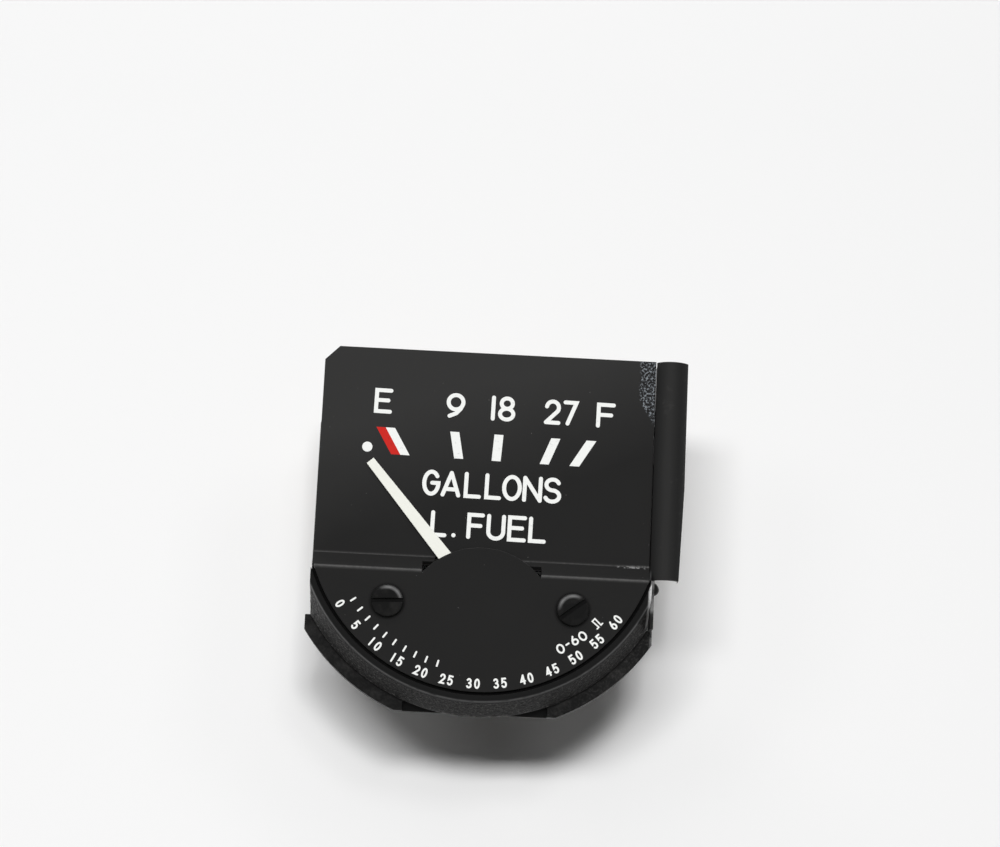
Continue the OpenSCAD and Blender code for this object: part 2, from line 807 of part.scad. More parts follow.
dial_plate();
dial_screws();
dial_pillars();
light_shield();
shield_rivets();
pointer();
pointer_hub();
counterweight();
pointer_shaft();
armature();
armature_sleeve();
front_bridge();
back_bridge();
bridge_pillars();
bridge_screws();
stop_pins();
front_bearing();
back_bearing();
at_coil(-1) coil();  // empty_coil
at_coil(1) coil();  // full_coil
at_coil(-1) bobbin();  // empty_bobbin
at_coil(1) bobbin();  // full_bobbin
at_coil(-1) core();  // empty_core
at_coil(1) core();  // full_core
yoke();
yoke_screws();
return_magnet();
resistor_card();
resistor_winding();
resistor_rivets();
lead_wires();
solder_lugs();
case_front();
case_gasket();
case_back();
case_screws();
movement_screws();
terminal_studs();
stud_bushes();
fibre_washers();
plain_washers();
lock_washers();
stud_nuts();
lug_nuts();
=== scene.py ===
# %% [markdown]
# # A fuel gauge from an aircraft's instrument cluster
#
# The gauge is a stepped black dial in a flanged case. A cream pointer comes out from under the
# dial's tongue, a rolled light shield runs down the right side, and three terminal studs stand
# out of the back. It stands on those studs on a white table and is seen from a little below.
#
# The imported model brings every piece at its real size, and each piece keeps its place. This
# script dresses them: it gives every surface a finish, prints the dial, and builds again the four
# pieces whose detail the plain solids lack: the folded dial, the crackled front shell, the dial's
# slotted screws and the threaded studs.

# %% Load the frame
import math

import bmesh
import bpy
from mathutils import Matrix, Quaternion, Vector, noise
from mathutils.geometry import delaunay_2d_cdt


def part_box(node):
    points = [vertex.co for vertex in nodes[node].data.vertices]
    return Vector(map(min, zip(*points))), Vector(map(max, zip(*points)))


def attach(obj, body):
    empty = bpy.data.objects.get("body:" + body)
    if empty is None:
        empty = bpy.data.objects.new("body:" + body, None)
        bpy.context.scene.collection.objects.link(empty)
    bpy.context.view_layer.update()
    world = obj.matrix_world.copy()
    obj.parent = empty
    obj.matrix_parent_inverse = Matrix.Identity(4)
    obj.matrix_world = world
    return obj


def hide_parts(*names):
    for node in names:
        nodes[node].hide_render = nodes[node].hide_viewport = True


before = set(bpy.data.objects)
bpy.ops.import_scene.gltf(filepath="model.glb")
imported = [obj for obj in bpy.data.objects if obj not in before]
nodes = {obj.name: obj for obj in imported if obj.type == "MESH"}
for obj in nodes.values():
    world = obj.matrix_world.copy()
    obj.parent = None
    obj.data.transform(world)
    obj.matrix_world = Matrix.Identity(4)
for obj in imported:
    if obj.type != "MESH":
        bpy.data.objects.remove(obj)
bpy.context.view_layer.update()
MM = 0.001
TINY = 1e-6
BLADE_BEHIND_FACE = 1.05
dial_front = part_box("pointer")[0].y - BLADE_BEHIND_FACE * MM
print("pieces in the frame:", len(nodes), "dial's face at", round(dial_front / MM, 2), "mm")

# %% [markdown]
# ## Shader maths in plain expressions
#
# A procedural finish is mostly sums: take a noise, cut it at a level, multiply it by a mask.
# Adding those nodes one by one hides the sum, so a small class wraps a socket and gives it the
# usual operators. `1 - mask * 0.4` then adds two Math nodes. Any other node comes from
# `Finish.node`, which takes the node's type, its settings and its sockets.

# %% Signals
class Signal:
    """A number that changes over a surface: one output socket of a shader node."""

    def __init__(self, finish, socket):
        self.finish, self.socket = finish, socket

    def maths(self, operation, *values, clamp=False):
        sockets = dict(enumerate(values))
        settings = {"operation": operation, "use_clamp": clamp}
        return self.finish.node("ShaderNodeMath", settings, sockets)

    def __add__(self, other):
        return self.maths("ADD", self, other)

    def __radd__(self, other):
        return self.maths("ADD", other, self)

    def __sub__(self, other):
        return self.maths("SUBTRACT", self, other)

    def __rsub__(self, other):
        return self.maths("SUBTRACT", other, self)

    def __mul__(self, other):
        return self.maths("MULTIPLY", self, other)

    def __truediv__(self, other):
        return self.maths("DIVIDE", self, other)

    def __pow__(self, other):
        return self.maths("POWER", self, other)

    def clamped(self):
        return self.maths("ADD", self, 0.0, clamp=True)

    def most(self, other):
        return self.maths("MAXIMUM", self, other)

    def above(self, level, soft):
        """0 below the level and 1 above it, with a soft step between."""
        return ((self - (level - soft / 2)) / soft).clamped()

    def size(self):
        return self.maths("ABSOLUTE", self)

    def near(self, level, reach):
        """1 at the level, falling to 0 at that reach on either side."""
        return (1 - (self - level).size() / reach).clamped()


# %% [markdown]
# A finish starts from a place on the object, in millimetres, because wear and grain have a real
# size. The pieces' meshes are all made in the object's own frame, so object coordinates times
# 1000 are millimetres on the real gauge, and a grain keeps its size from piece to piece.

# %% Finishes
COLOUR_A, COLOUR_B, COLOUR_OUT = 6, 7, 2


class Finish:
    """A material under construction."""

    def __init__(self, name):
        self.material = bpy.data.materials.new(name)
        self.material.use_nodes = True
        self.tree = self.material.node_tree
        self.shader = next(n for n in self.tree.nodes if n.type == "BSDF_PRINCIPLED")
        place = self.node("ShaderNodeTexCoord", {}, {}, out="Object")
        self.place = self.node("ShaderNodeVectorMath", {"operation": "SCALE"},
                               {0: place, "Scale": 1 / MM})
        parts = self.tree.nodes.new("ShaderNodeSeparateXYZ")
        self.tree.links.new(self.place.socket, parts.inputs[0])
        self.x, self.y, self.z = (Signal(self, s) for s in parts.outputs)

    def node(self, kind, settings, sockets, out=0):
        made = self.tree.nodes.new(kind)
        for key, value in settings.items():
            setattr(made, key, value)
        for key, value in sockets.items():
            if isinstance(value, Signal):
                self.tree.links.new(value.socket, made.inputs[key])
            else:
                made.inputs[key].default_value = value
        return Signal(self, made.outputs[out])

    def noise(self, size, detail=2.0, rough=0.5, at=None):
        """Fractal noise whose blotches are about that size in millimetres."""
        return self.node("ShaderNodeTexNoise", {}, {"Vector": at or self.place, "Scale": 1 / size,
                                                    "Detail": detail, "Roughness": rough})

    def cells(self, size, feature="F1"):
        """Distance to the nearest of scattered points, about that far apart."""
        return self.node("ShaderNodeTexVoronoi", {"feature": feature},
                         {"Vector": self.place, "Scale": 1 / size}, out="Distance")

    def stretched(self, x, y, z):
        """The place with each direction scaled, for streaks and brushed grain."""
        return self.node("ShaderNodeVectorMath", {"operation": "MULTIPLY"},
                         {0: self.place, 1: (x, y, z)})

    def blend(self, share, low, high):
        """One colour where the share is 0 and another where it is 1."""
        return self.node("ShaderNodeMix", {"data_type": "RGBA"},
                         {"Factor": share, COLOUR_A: low, COLOUR_B: high}, out=COLOUR_OUT)

    def bump(self, height, depth, strength=1.0, under=None):
        """A relief of that depth in millimetres."""
        sockets = {"Height": height, "Distance": depth * MM, "Strength": strength}
        if under:
            sockets["Normal"] = under
        return self.node("ShaderNodeBump", {}, sockets)

    def wear(self, **inputs):
        """Sets the shader's sockets, each with a constant or a signal."""
        for key, value in inputs.items():
            socket = self.shader.inputs[key.replace("_", " ")]
            if isinstance(value, Signal):
                self.tree.links.new(value.socket, socket)
            else:
                socket.default_value = value
        return self.material


def grey(level, warm=0.0):
    """A neutral colour, a little warmer or cooler."""
    return (level * (1 + warm), level, level * (1 - warm), 1)


# %% [markdown]
# ## The camera
#
# The photo was taken with a long lens, from a little below the dial's axis and with the camera
# slightly rolled. The dial's straight edges and its round lower edge give those angles: the
# camera's place and the point in the picture's middle are written here as real distances.

# %% Camera
camera_place = Vector((-3.95, -345.51, -56.29)) * MM
picture_middle = Vector((1.47, -22.0, 12.41)) * MM
camera_roll = math.radians(2.71)

lens = bpy.data.cameras.new("camera")
lens.lens = 90
lens.sensor_width = 36
camera = bpy.data.objects.new("camera", lens)
aim = (picture_middle - camera_place).to_track_quat("-Z", "Y")
camera.matrix_world = (Matrix.Translation(camera_place)
                       @ (aim @ Quaternion((0, 0, 1), camera_roll)).to_matrix().to_4x4())
bpy.context.scene.collection.objects.link(camera)
bpy.context.scene.camera = camera
print("camera", round((picture_middle - camera_place).length / MM), "mm from the dial")

# %% [markdown]
# ## The table and the light
#
# The gauge stands on its terminal studs on a white table, so the table is a plane behind it. It
# is lit, because it has to hold the soft shadow, but it lets rays through from behind: a view of
# the back then sees the gauge and not the table's underside.
#
# Three soft lamps nearly straight in front give the shadow under the dial its dark core. A dim one
# on the left and one on the right lighten its edges. None of these five shows in a reflection, so
# the black paint stays black. A long one above the top edge puts a thin light on the folds, and two
# behind serve only the views of the back.
#
# The table has to stay just under full white. The lamps in front all stand above the gauge's axis,
# so it rendered brighter at the top: its own colour gets a little darker upwards to even that out.

# %% Table
stud_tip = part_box("terminal_studs")[1].y
table_half, table_gap = 0.6, 0.2 * MM

table_mesh = bpy.data.meshes.new("table")
table_mesh.from_pydata([(x, stud_tip + table_gap, z) for x, z in
                        ((-table_half, -table_half), (table_half, -table_half),
                         (table_half, table_half), (-table_half, table_half))],
                       [], [(0, 1, 2, 3)])
table = bpy.data.objects.new("table", table_mesh)
bpy.context.scene.collection.objects.link(table)

white_top = Finish("table_top")
behind = white_top.node("ShaderNodeNewGeometry", {}, {}, out="Backfacing")
shadow_ray = white_top.node("ShaderNodeLightPath", {}, {}, out="Is Shadow Ray")
even_low, even_high = -45, 70
height_share = ((white_top.z - even_low) / (even_high - even_low)).clamped()
white_top.wear(Base_Color=white_top.blend(height_share, grey(0.915), grey(0.86)), Roughness=0.9,
               Specular_IOR_Level=0.2)
clear = white_top.node("ShaderNodeBsdfTransparent", {}, {})
lit = Signal(white_top, white_top.shader.outputs[0])
both = white_top.node("ShaderNodeMixShader", {}, {0: behind.most(shadow_ray), 1: lit, 2: clear})
table_end = next(n for n in white_top.tree.nodes if n.type == "OUTPUT_MATERIAL")
white_top.tree.links.new(both.socket, table_end.inputs["Surface"])
table_mesh.materials.append(white_top.material)

# %% Lamps and backdrop
FLOAT_A, FLOAT_B = 2, 3
light_level, seen_level = 0.06, 0.9

world = bpy.data.worlds.new("studio")
bpy.context.scene.world = world
world.use_nodes = True
sky = world.node_tree
air = next(n for n in sky.nodes if n.type == "BACKGROUND")
rays = sky.nodes.new("ShaderNodeLightPath")
seen = rays.outputs["Is Camera Ray"]
for kind in ("Is Glossy Ray", "Is Transmission Ray"):
    either = sky.nodes.new("ShaderNodeMath")
    either.operation = "MAXIMUM"
    sky.links.new(seen, either.inputs[0])
    sky.links.new(rays.outputs[kind], either.inputs[1])
    seen = either.outputs[0]
backdrop = sky.nodes.new("ShaderNodeMix")
backdrop.data_type = "FLOAT"
sky.links.new(seen, backdrop.inputs["Factor"])
backdrop.inputs[FLOAT_A].default_value = light_level
backdrop.inputs[FLOAT_B].default_value = seen_level
sky.links.new(backdrop.outputs[0], air.inputs["Strength"])
air.inputs["Color"].default_value = (1, 1, 0.995, 1)


def soft_lamp(name, place, target, size, power):
    """A rectangular area lamp that faces its target."""
    data = bpy.data.lights.new(name, "AREA")
    data.shape = "RECTANGLE"
    data.size, data.size_y = size
    data.energy = power
    lamp = bpy.data.objects.new(name, data)
    place, target = Vector(place), Vector(target)
    lamp.matrix_world = (Matrix.Translation(place)
                         @ (target - place).to_track_quat("-Z", "Y").to_matrix().to_4x4())
    bpy.context.scene.collection.objects.link(lamp)
    return lamp


def aimed(sideways, upwards, distance):
    """A place in front of the gauge, from its two angles off the table's normal in degrees."""
    across, up = math.tan(math.radians(sideways)), math.tan(math.radians(upwards))
    return Vector((across, -1, up)).normalized() * distance


for name, sideways, upwards, size, power in (
        ("key_lamp", 2, 7.6, (0.13, 0.1), 3.5), ("wide_key_lamp", -8.5, 6.8, (0.3, 0.1), 4.65),
        ("upper_key_lamp", 6, 15, (0.14, 0.1), 0.85), ("left_lamp", -33, 14, (0.24, 0.22), 0.4),
        ("right_lamp", 27, 24, (0.2, 0.25), 0.4)):
    soft_lamp(name, aimed(sideways, upwards, 1.0), (0, 0, 0), size, power).visible_glossy = False
soft_lamp("top_lamp", aimed(-20, 55, 0.7), (0, 0, 0), (0.6, 0.07), 0.6)
soft_lamp("back_lamp", (0.35, 0.5, 0.3), (0, 0, 0), (0.4, 0.4), 4.0)
soft_lamp("back_left_lamp", (-0.45, 0.35, 0.15), (0, 0, 0), (0.4, 0.4), 2.5)
bpy.context.scene.view_settings.view_transform = "Standard"
print("table", round((stud_tip - dial_front) / MM, 1), "mm behind the dial's face")

# %% [markdown]
# ## Rounding the imported pieces' edges
#
# No real edge is perfectly sharp: a sheared sheet, a turned head and a moulded rim all catch a
# thin line of light. The imported meshes are exact but sharp, and the modifiers that sit on top
# of them leave their data as it is: each piece gets the same short stack: join the split corners,
# merge the flat triangles, bevel what is still sharp, and weigh the normals by face size.

# %% Soft edges
WELD_GAP, FLAT_ANGLE, SHARP_ANGLE = 0.001 * MM, math.radians(0.5), math.radians(35)


def soften(name, finish, width):
    """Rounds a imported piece's sharp edges by that width and gives it its finish."""
    part = nodes[name]
    weld = part.modifiers.new("weld", "WELD")
    weld.merge_threshold = WELD_GAP
    flats = part.modifiers.new("flats", "DECIMATE")
    flats.decimate_type = "DISSOLVE"
    flats.angle_limit = FLAT_ANGLE
    edges = part.modifiers.new("edges", "BEVEL")
    edges.width = width * MM
    edges.segments = 2
    edges.limit_method = "ANGLE"
    edges.angle_limit = SHARP_ANGLE
    edges.use_clamp_overlap = False
    part.modifiers.new("normals", "WEIGHTED_NORMAL")
    for place in part.material_slots:
        place.material = finish


def piece(name, verts, faces, finish, body="gauge_body", sharp=40):
    """A new mesh in the object's frame, shaded smooth below the sharp angle."""
    mesh = bpy.data.meshes.new(name)
    mesh.from_pydata([tuple(v) for v in verts], [], faces)
    mesh.polygons.foreach_set("use_smooth", [True] * len(mesh.polygons))
    mesh.set_sharp_from_angle(angle=math.radians(sharp))
    mesh.materials.append(finish)
    made = bpy.data.objects.new(name, mesh)
    bpy.context.scene.collection.objects.link(made)
    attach(made, body)
    return made


def built_piece(name, built, finish, sharp=40):
    """A piece from a mesh under construction. A closed one has no open edges."""
    built.verts.index_update()
    open_edges = sum(len(edge.link_faces) != 2 for edge in built.edges)
    verts = [v.co.copy() for v in built.verts]
    faces = [tuple(v.index for v in face.verts) for face in built.faces]
    built.free()
    print(name, "of", len(verts), "points, open edges:", open_edges)
    return piece(name, verts, faces, finish, sharp=sharp)


# %% [markdown]
# ## The dial's black paint
#
# The dial is a sheet sprayed matt black. Close up it is not one black: the spray leaves a fine
# orange peel, handling polishes some patches, and dust sits on it. A painted sheen lightens it
# towards the top left, the two bends carry a painted highlight and have lost a little paint, a
# painted shade rings the two screws, and a strip at the upper right is crinkled.

# %% Dial paint
SCREW_X, SCREW_Z = 12.1, -11.95
LOW_CREST, HIGH_CREST = 0.085, 1.53
CRINKLE_LEFT, CRINKLE_LOW, TAPER_BELOW, TAPER = 19.75, 13.7, 16.8, 0.62


def from_screw(finish):
    """How far outwards, upwards and away the place is from the nearer dial screw's middle."""
    side, rise = finish.x.size() - SCREW_X, finish.z - SCREW_Z
    return side, rise, (side * side + rise * rise) ** 0.5


def dial_paint():
    paint = Finish("dial_black")
    peel = paint.noise(0.22, detail=3)
    patches = paint.noise(9, detail=2)
    flecks = paint.cells(1.3)
    dust = (0.035 - flecks) / 0.02 * paint.noise(3.1).above(0.5, 0.1)
    front = dial_front / MM
    rough = paint.noise(0.5, detail=4, rough=0.7)
    # Painted highlight, with a little worn paint: the crests of both bends are painted a lighter grey.
    low_crest_light = paint.y.near(front + LOW_CREST, 0.08) * (0.35 + rough)
    corner = paint.x.above(19.4, 3) * rough.above(0.45, 0.2)
    high_crest_light = paint.y.near(front + HIGH_CREST, 0.07) * (rough * 0.8 + corner * 1.6)
    painted_crest_light = (low_crest_light + high_crest_light).clamped()
    edge_of_strip = CRINKLE_LEFT + (TAPER_BELOW - paint.z).most(0) * TAPER + paint.noise(0.9) * 0.5
    crinkle = (paint.x - edge_of_strip).above(0, 0.3) * paint.z.above(CRINKLE_LOW, 0.8)
    ridges = paint.noise(0.3, detail=2, rough=0.7).above(0.55, 0.09)
    # Painted sheen: the black is lighter towards the top left, where the light falls on it.
    painted_sheen = ((paint.z - paint.x * 0.33 - 10) / 16 + 0.35 + patches * 0.3).clamped()
    black = paint.blend(patches, grey(0.008), grey(0.0105, 0.02))
    base = paint.blend(painted_sheen, black, grey(0.0245, 0.01))
    at_bend = paint.y.near(front + HIGH_CREST - 0.09, 0.12) * paint.x.near(19.8, 2.2).above(0.1, 0.2)
    specks = at_bend * rough.above(0.52, 0.06)
    # The crest tone here is a painted highlight; the grey specks on the upper bend are lost paint.
    rubbed = paint.blend(specks, paint.blend(painted_crest_light, base, grey(0.095, 0.01)), grey(0.3))
    # Painted shade: a near-black ring on the dial round each screw's head.
    painted_screw_shade = from_screw(paint)[2].near(2.2, 0.36)
    rubbed = paint.blend((painted_screw_shade * 0.85).clamped(), rubbed, grey(0.002))
    # The crinkled strip over a tone that holds the painted sheen, highlight and shade.
    tone_with_painted_light = paint.blend(crinkle, rubbed, paint.blend(ridges, grey(0.009), grey(0.23, -0.08)))
    dusty = paint.blend((dust.clamped() * 0.55).clamped(), tone_with_painted_light, grey(0.4, 0.02))
    relief = paint.bump(peel, 0.012, 0.35)
    relief = paint.bump(ridges * crinkle, 0.05, 0.8, relief)
    return paint.wear(Base_Color=dusty, Roughness=0.4 + patches * 0.1 - painted_crest_light * 0.1,
                      Specular_IOR_Level=0.15, Normal=relief)


dial_black = dial_paint()

# %% [markdown]
# ## The dial's sheet
#
# The dial is punched from flat sheet and folded twice, so it is built that way. Its outlines are
# drawn on the flat blank, with the distance along the sheet in place of the height. The edges get
# a small round on both faces: each outline is drawn again a little further in for the face, and
# once more between the two. Then every point is carried to its place on the folded sheet.
#
# The tongue isn't folded: it stays level with the lower face and stands in front of the upper one.
# In the blank it would lie over the window's upper edge, so the folded part is stretched to twice
# its length while the faces are cut into triangles.

# %% The folded profile
SHEET_T = 0.8
STEP_FOOT, STEP_RISE, STEP_DEPTH = -7.6, 2.05, 1.6
BEND_LOW, BEND_HIGH = 1.5, 0.7
lower_face = dial_front / MM
fold = math.atan2(STEP_DEPTH, STEP_RISE)
ramp = math.hypot(STEP_DEPTH, STEP_RISE) - (BEND_LOW + BEND_HIGH) * math.tan(fold / 2)
fold_start = STEP_FOOT - BEND_LOW * math.tan(fold / 2)
ramp_start = fold_start + BEND_LOW * fold
ramp_end = ramp_start + ramp
fold_end = ramp_end + BEND_HIGH * fold


def folded(x, along, behind):
    """A point on the folded sheet, from its place on the blank and its distance behind the face."""
    low = min(max(along - fold_start, 0), BEND_LOW * fold) / BEND_LOW
    high = min(max(along - ramp_end, 0), BEND_HIGH * fold) / BEND_HIGH
    lean = low - high
    straight = min(max(along - ramp_start, 0), ramp)
    depth = (BEND_LOW * (1 - math.cos(low)) + straight * math.sin(fold)
             + BEND_HIGH * (math.cos(fold - high) - math.cos(fold)))
    height = (min(along, fold_start) + BEND_LOW * math.sin(low) + straight * math.cos(fold)
              + BEND_HIGH * (math.sin(fold) - math.sin(fold - high)) + max(along - fold_end, 0))
    return (x * MM, (lower_face + depth + behind * math.cos(lean)) * MM,
            (height - behind * math.sin(lean)) * MM)


def along_sheet(height):
    """The place on the blank of a height on the folded front face."""
    low, high = height - 1, height + 2
    for _ in range(40):
        middle = (low + high) / 2
        if folded(0, middle, 0)[2] / MM < height:
            low = middle
        else:
            high = middle
    return low


print("fold of", round(math.degrees(fold), 1), "degrees; the blank is",
      round(along_sheet(22.25) - 22.25, 2), "mm longer than the dial")

# %% The blank's outlines
DIAL_LEFT, DIAL_RIGHT, DIAL_TOP, DIAL_R = -22.2, 22.05, 22.25, 23.2
CORNER_CUT, FOOT_Z, SCREW_HOLE_R = 1.9, -7.47, 1.12
TONGUE_R, TONGUE_Z = 10.1, -14.4
WINDOW_X, WINDOW_LEFT, WINDOW_RIGHT = 7.8, -6.2, 4.8
WINDOW_SILL, WINDOW_HEAD = -6.3, -5.08
EDGE_ROUND = 0.07
levels = ([fold_start + BEND_LOW * fold * i / 8 for i in (0, 2, 3, 4, 5, 6, 7, 8)]
          + [ramp_end + BEND_HIGH * fold * i / 5 for i in range(6)])


def bow(cx, cz, rx, rz, start, end, steps=14):
    """Points along an arc of an ellipse, anticlockwise from the right."""
    angles = [math.radians(start + (end - start) * i / steps) for i in range(steps + 1)]
    return [(cx + rx * math.cos(a), cz + rz * math.sin(a)) for a in angles]


def with_levels(points):
    """The closed outline with a point wherever it crosses one of the fold's lines."""
    full = []
    for a, b in zip(points, points[1:] + points[:1]):
        full.append(a)
        crossed = [(level - a[1]) / (b[1] - a[1]) for level in levels
                   if min(a[1], b[1]) + TINY < level < max(a[1], b[1]) - TINY]
        full += [(a[0] + (b[0] - a[0]) * t, a[1] + (b[1] - a[1]) * t) for t in sorted(crossed)]
    return full


def inset(points, distance):
    """The closed outline moved to its left by that distance, with short mitres."""
    moved = []
    for before, at, after in zip(points[-1:] + points[:-1], points, points[1:] + points[:1]):
        first = Vector((before[1] - at[1], at[0] - before[0])).normalized()
        second = Vector((at[1] - after[1], after[0] - at[0])).normalized()
        shift = (first + second) * min(1 / (1 + first.dot(second)), 1.2) * distance
        moved.append((at[0] + shift.x, at[1] + shift.y))
    return moved


top = along_sheet(DIAL_TOP)
foot_left = math.degrees(math.atan2(FOOT_Z, -math.sqrt(DIAL_R ** 2 - FOOT_Z ** 2)))
foot_right = -math.degrees(math.acos(DIAL_RIGHT / DIAL_R))
outline = [(DIAL_RIGHT, top), (DIAL_LEFT + CORNER_CUT, top), (DIAL_LEFT, top - CORNER_CUT),
           (DIAL_LEFT, FOOT_Z)] + bow(0, 0, DIAL_R, DIAL_R, foot_left, foot_right, 150)
root = math.degrees(math.acos(WINDOW_X / TONGUE_R))
tongue = bow(0, TONGUE_Z, TONGUE_R, TONGUE_R, root, 180 - root, 60)
sill = along_sheet(WINDOW_SILL)
window = [(-WINDOW_X, sill), (WINDOW_LEFT, sill), (WINDOW_LEFT, WINDOW_HEAD),
          (WINDOW_RIGHT, WINDOW_HEAD), (WINDOW_RIGHT, sill), (WINDOW_X, sill)]
loops = [with_levels(outline)]
gap = with_levels([tongue[-1]] + window + [tongue[0]])
loops.append(gap + tongue[1:-1])
stays = {(1, len(gap) + i) for i in range(len(tongue) - 2)}
for side in (-1, 1):
    loops.append(bow(side * SCREW_X, SCREW_Z, SCREW_HOLE_R, SCREW_HOLE_R, 360, 7.5, 47))
print("outlines of", [len(loop) for loop in loops], "points")


# %% The folded sheet
def folded_sheet(name, finish):
    """The dial as one closed solid: two faces, and a rounded edge along each outline."""
    edge = [(EDGE_ROUND, 0), (0.3 * EDGE_ROUND, 0.3 * EDGE_ROUND), (0, EDGE_ROUND),
            (0, SHEET_T - EDGE_ROUND), (0.3 * EDGE_ROUND, SHEET_T - 0.3 * EDGE_ROUND),
            (EDGE_ROUND, SHEET_T)]
    rows = len(edge)
    verts, faces, blank, rims, lines = [], [], [], [], []
    for number, loop in enumerate(loops):
        first = len(blank)
        count = len(loop)
        rims.append(list(range(first, first + count)))
        rings = [inset(loop, distance) for distance, _ in edge]
        for i in range(count):
            flap = (number, i) in stays
            x, along = rings[0][i]
            blank.append(Vector((x, along if flap else along + max(along - fold_start, 0))))
            for ring, (_, behind) in zip(rings, edge):
                x, along = ring[i]
                verts.append((x * MM, (lower_face + behind) * MM, along * MM) if flap
                             else folded(x, along, behind))
            here, after = (first + i) * rows, (first + (i + 1) % count) * rows
            faces += [(here + k, here + k + 1, after + k + 1, after + k) for k in range(rows - 1)]
    for level in levels:
        crossing = sorted((rims[number][i] for number, loop in enumerate(loops)
                           for i, p in enumerate(loop)
                           if abs(p[1] - level) < TINY and (number, i) not in stays),
                          key=lambda at: blank[at].x)
        lines += list(zip(crossing[::2], crossing[1::2]))
    areas = [rims[0]] + [rim[::-1] for rim in rims[1:]]
    _, _, cut, origins, _, sources = delaunay_2d_cdt(blank, lines, areas, 1, TINY)
    for face, source in zip(cut, sources):
        if source == [0]:
            corners = [origins[i][0] for i in face]
            faces.append(tuple(rows * i for i in corners))
            faces.append(tuple(rows * i + rows - 1 for i in reversed(corners)))
    sheet = piece(name, verts, faces, finish)
    sheet.modifiers.new("normals", "WEIGHTED_NORMAL")
    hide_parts("dial_plate")
    return sheet


sheet = folded_sheet("dial_sheet", dial_black)

# %% [markdown]
# ## The print on the dial
#
# The scale is screen printed: strokes of one width with round ends, in ink a few hundredths of a
# millimetre thick. A font object would bring its own letter shapes, so the characters are drawn
# here as strokes in a unit square, which is how an engraver's pantograph letters a dial too.
#
# Strokes overlap where they meet. Thickened one by one they would leave faces inside each other,
# so all the outlines of a mark go into one flat triangulation, which splits them where they
# cross. Every triangle that lies in at least one outline is kept, and the sheet that they make is
# raised into a thin closed solid.

# %% Characters
def ring(cx, cz, rx, rz):
    return bow(cx, cz, rx, rz, 0, 360, 26)


CHARACTERS = {
    "0": [ring(0.5, 0.5, 0.5, 0.5)],
    "1": [[(0.5, 1), (0.5, 0)]],
    "2": [bow(0.5, 0.71, 0.48, 0.29, 172, -32) + [(0, 0), (1, 0)]],
    "3": [bow(0.46, 0.76, 0.42, 0.24, 150, -90), bow(0.46, 0.26, 0.5, 0.26, 90, -150)],
    "4": [[(0.75, 0), (0.75, 1), (0, 0.3), (1, 0.3)]],
    "5": [[(0.92, 1), (0.12, 1), (0.08, 0.56)] + bow(0.46, 0.32, 0.52, 0.32, 118, -145)],
    "6": [ring(0.5, 0.3, 0.5, 0.3), [(0.62, 1), (0.16, 0.6), (0, 0.32)]],
    "7": [[(0, 1), (1, 1), (0.28, 0)]],
    "8": [ring(0.5, 0.755, 0.42, 0.245), ring(0.5, 0.255, 0.5, 0.255)],
    "9": [ring(0.5, 0.66, 0.5, 0.34), [(0.98, 0.58), (0.84, 0.36), (0.56, 0.14), (0.12, 0)]],
    "A": [[(0, 0), (0.5, 1), (1, 0)], [(0.16, 0.26), (0.84, 0.26)]],
    "E": [[(1, 1), (0, 1), (0, 0), (1, 0)], [(0, 0.53), (0.84, 0.53)]],
    "F": [[(1, 1), (0, 1), (0, 0)], [(0, 0.52), (0.86, 0.52)]],
    "G": [bow(0.5, 0.5, 0.5, 0.5, 38, 352, 26) + [(1, 0.5), (0.56, 0.5)]],
    "L": [[(0, 1), (0, 0), (1, 0)]],
    "N": [[(0, 0), (0, 1), (1, 0), (1, 1)]],
    "O": [ring(0.5, 0.5, 0.5, 0.5)],
    "S": [bow(0.5, 0.755, 0.45, 0.245, 22, 262) + bow(0.5, 0.255, 0.5, 0.255, 82, -158)],
    "U": [[(0, 1)] + bow(0.5, 0.3, 0.5, 0.3, 180, 360) + [(1, 1)]],
    "-": [[(0, 0.5), (1, 0.5)]],
    "ohm": [[(0, 0), (0.3, 0), (0.26, 1), (0.74, 1), (0.7, 0), (1, 0)]],
}
print("characters drawn:", len(CHARACTERS))


# %% Strokes to outlines
def stroke_outlines(points, half):
    """Polygons that together cover a stroke of that half width, with mitred bends and round ends."""
    points = [Vector(p) for p in points]
    closed = (points[0] - points[-1]).length < TINY
    shapes = []
    normals = []
    for a, b in zip(points, points[1:]):
        side = Vector((a.y - b.y, b.x - a.x)).normalized() * half
        normals.append(side)
        shapes.append([a + side, a - side, b - side, b + side])
    joints = list(zip(points[1:-1], normals, normals[1:]))
    if closed:
        joints.append((points[0], normals[-1], normals[0]))
    for at, before, after in joints:
        middle = before + after
        bend = middle.length_squared / (4 * half * half)
        if bend < 0.16:
            shapes.append([at + Vector(p) for p in bow(0, 0, half, half, 0, 330, 11)])
        elif bend < 0.9999:
            tip = middle / (2 * bend)
            shapes += [[at, at + before, at + tip, at + after], [at, at - before, at - tip, at - after]]
    if not closed:
        for end in (points[0], points[-1]):
            shapes.append([end + Vector(p) for p in bow(0, 0, half, half, 0, 345, 23)])
    return shapes


def character(key, left, bottom, width, height, line, turned=None):
    """A character's outlines, where width and height are those of the inked shape."""
    span = max(width - line, 0)
    shapes = []
    for stroke in CHARACTERS[key]:
        points = [(left + line / 2 + x * span, bottom + line / 2 + z * (height - line))
                  for x, z in stroke]
        if turned:
            points = [turned(*p) for p in points]
        shapes += stroke_outlines(points, line / 2)
    return shapes


# %% Outlines to ink
PRINT_Z = -11.6
INK_T = 0.02
INK_SUNK = 0.01
PRINT_SKEW = math.radians(0.9)


def skewed(x, z):
    """The print sits a little clockwise of the plate, turned about its own centre."""
    high = z - PRINT_Z
    return (x * math.cos(PRINT_SKEW) + high * math.sin(PRINT_SKEW),
            PRINT_Z + high * math.cos(PRINT_SKEW) - x * math.sin(PRINT_SKEW))


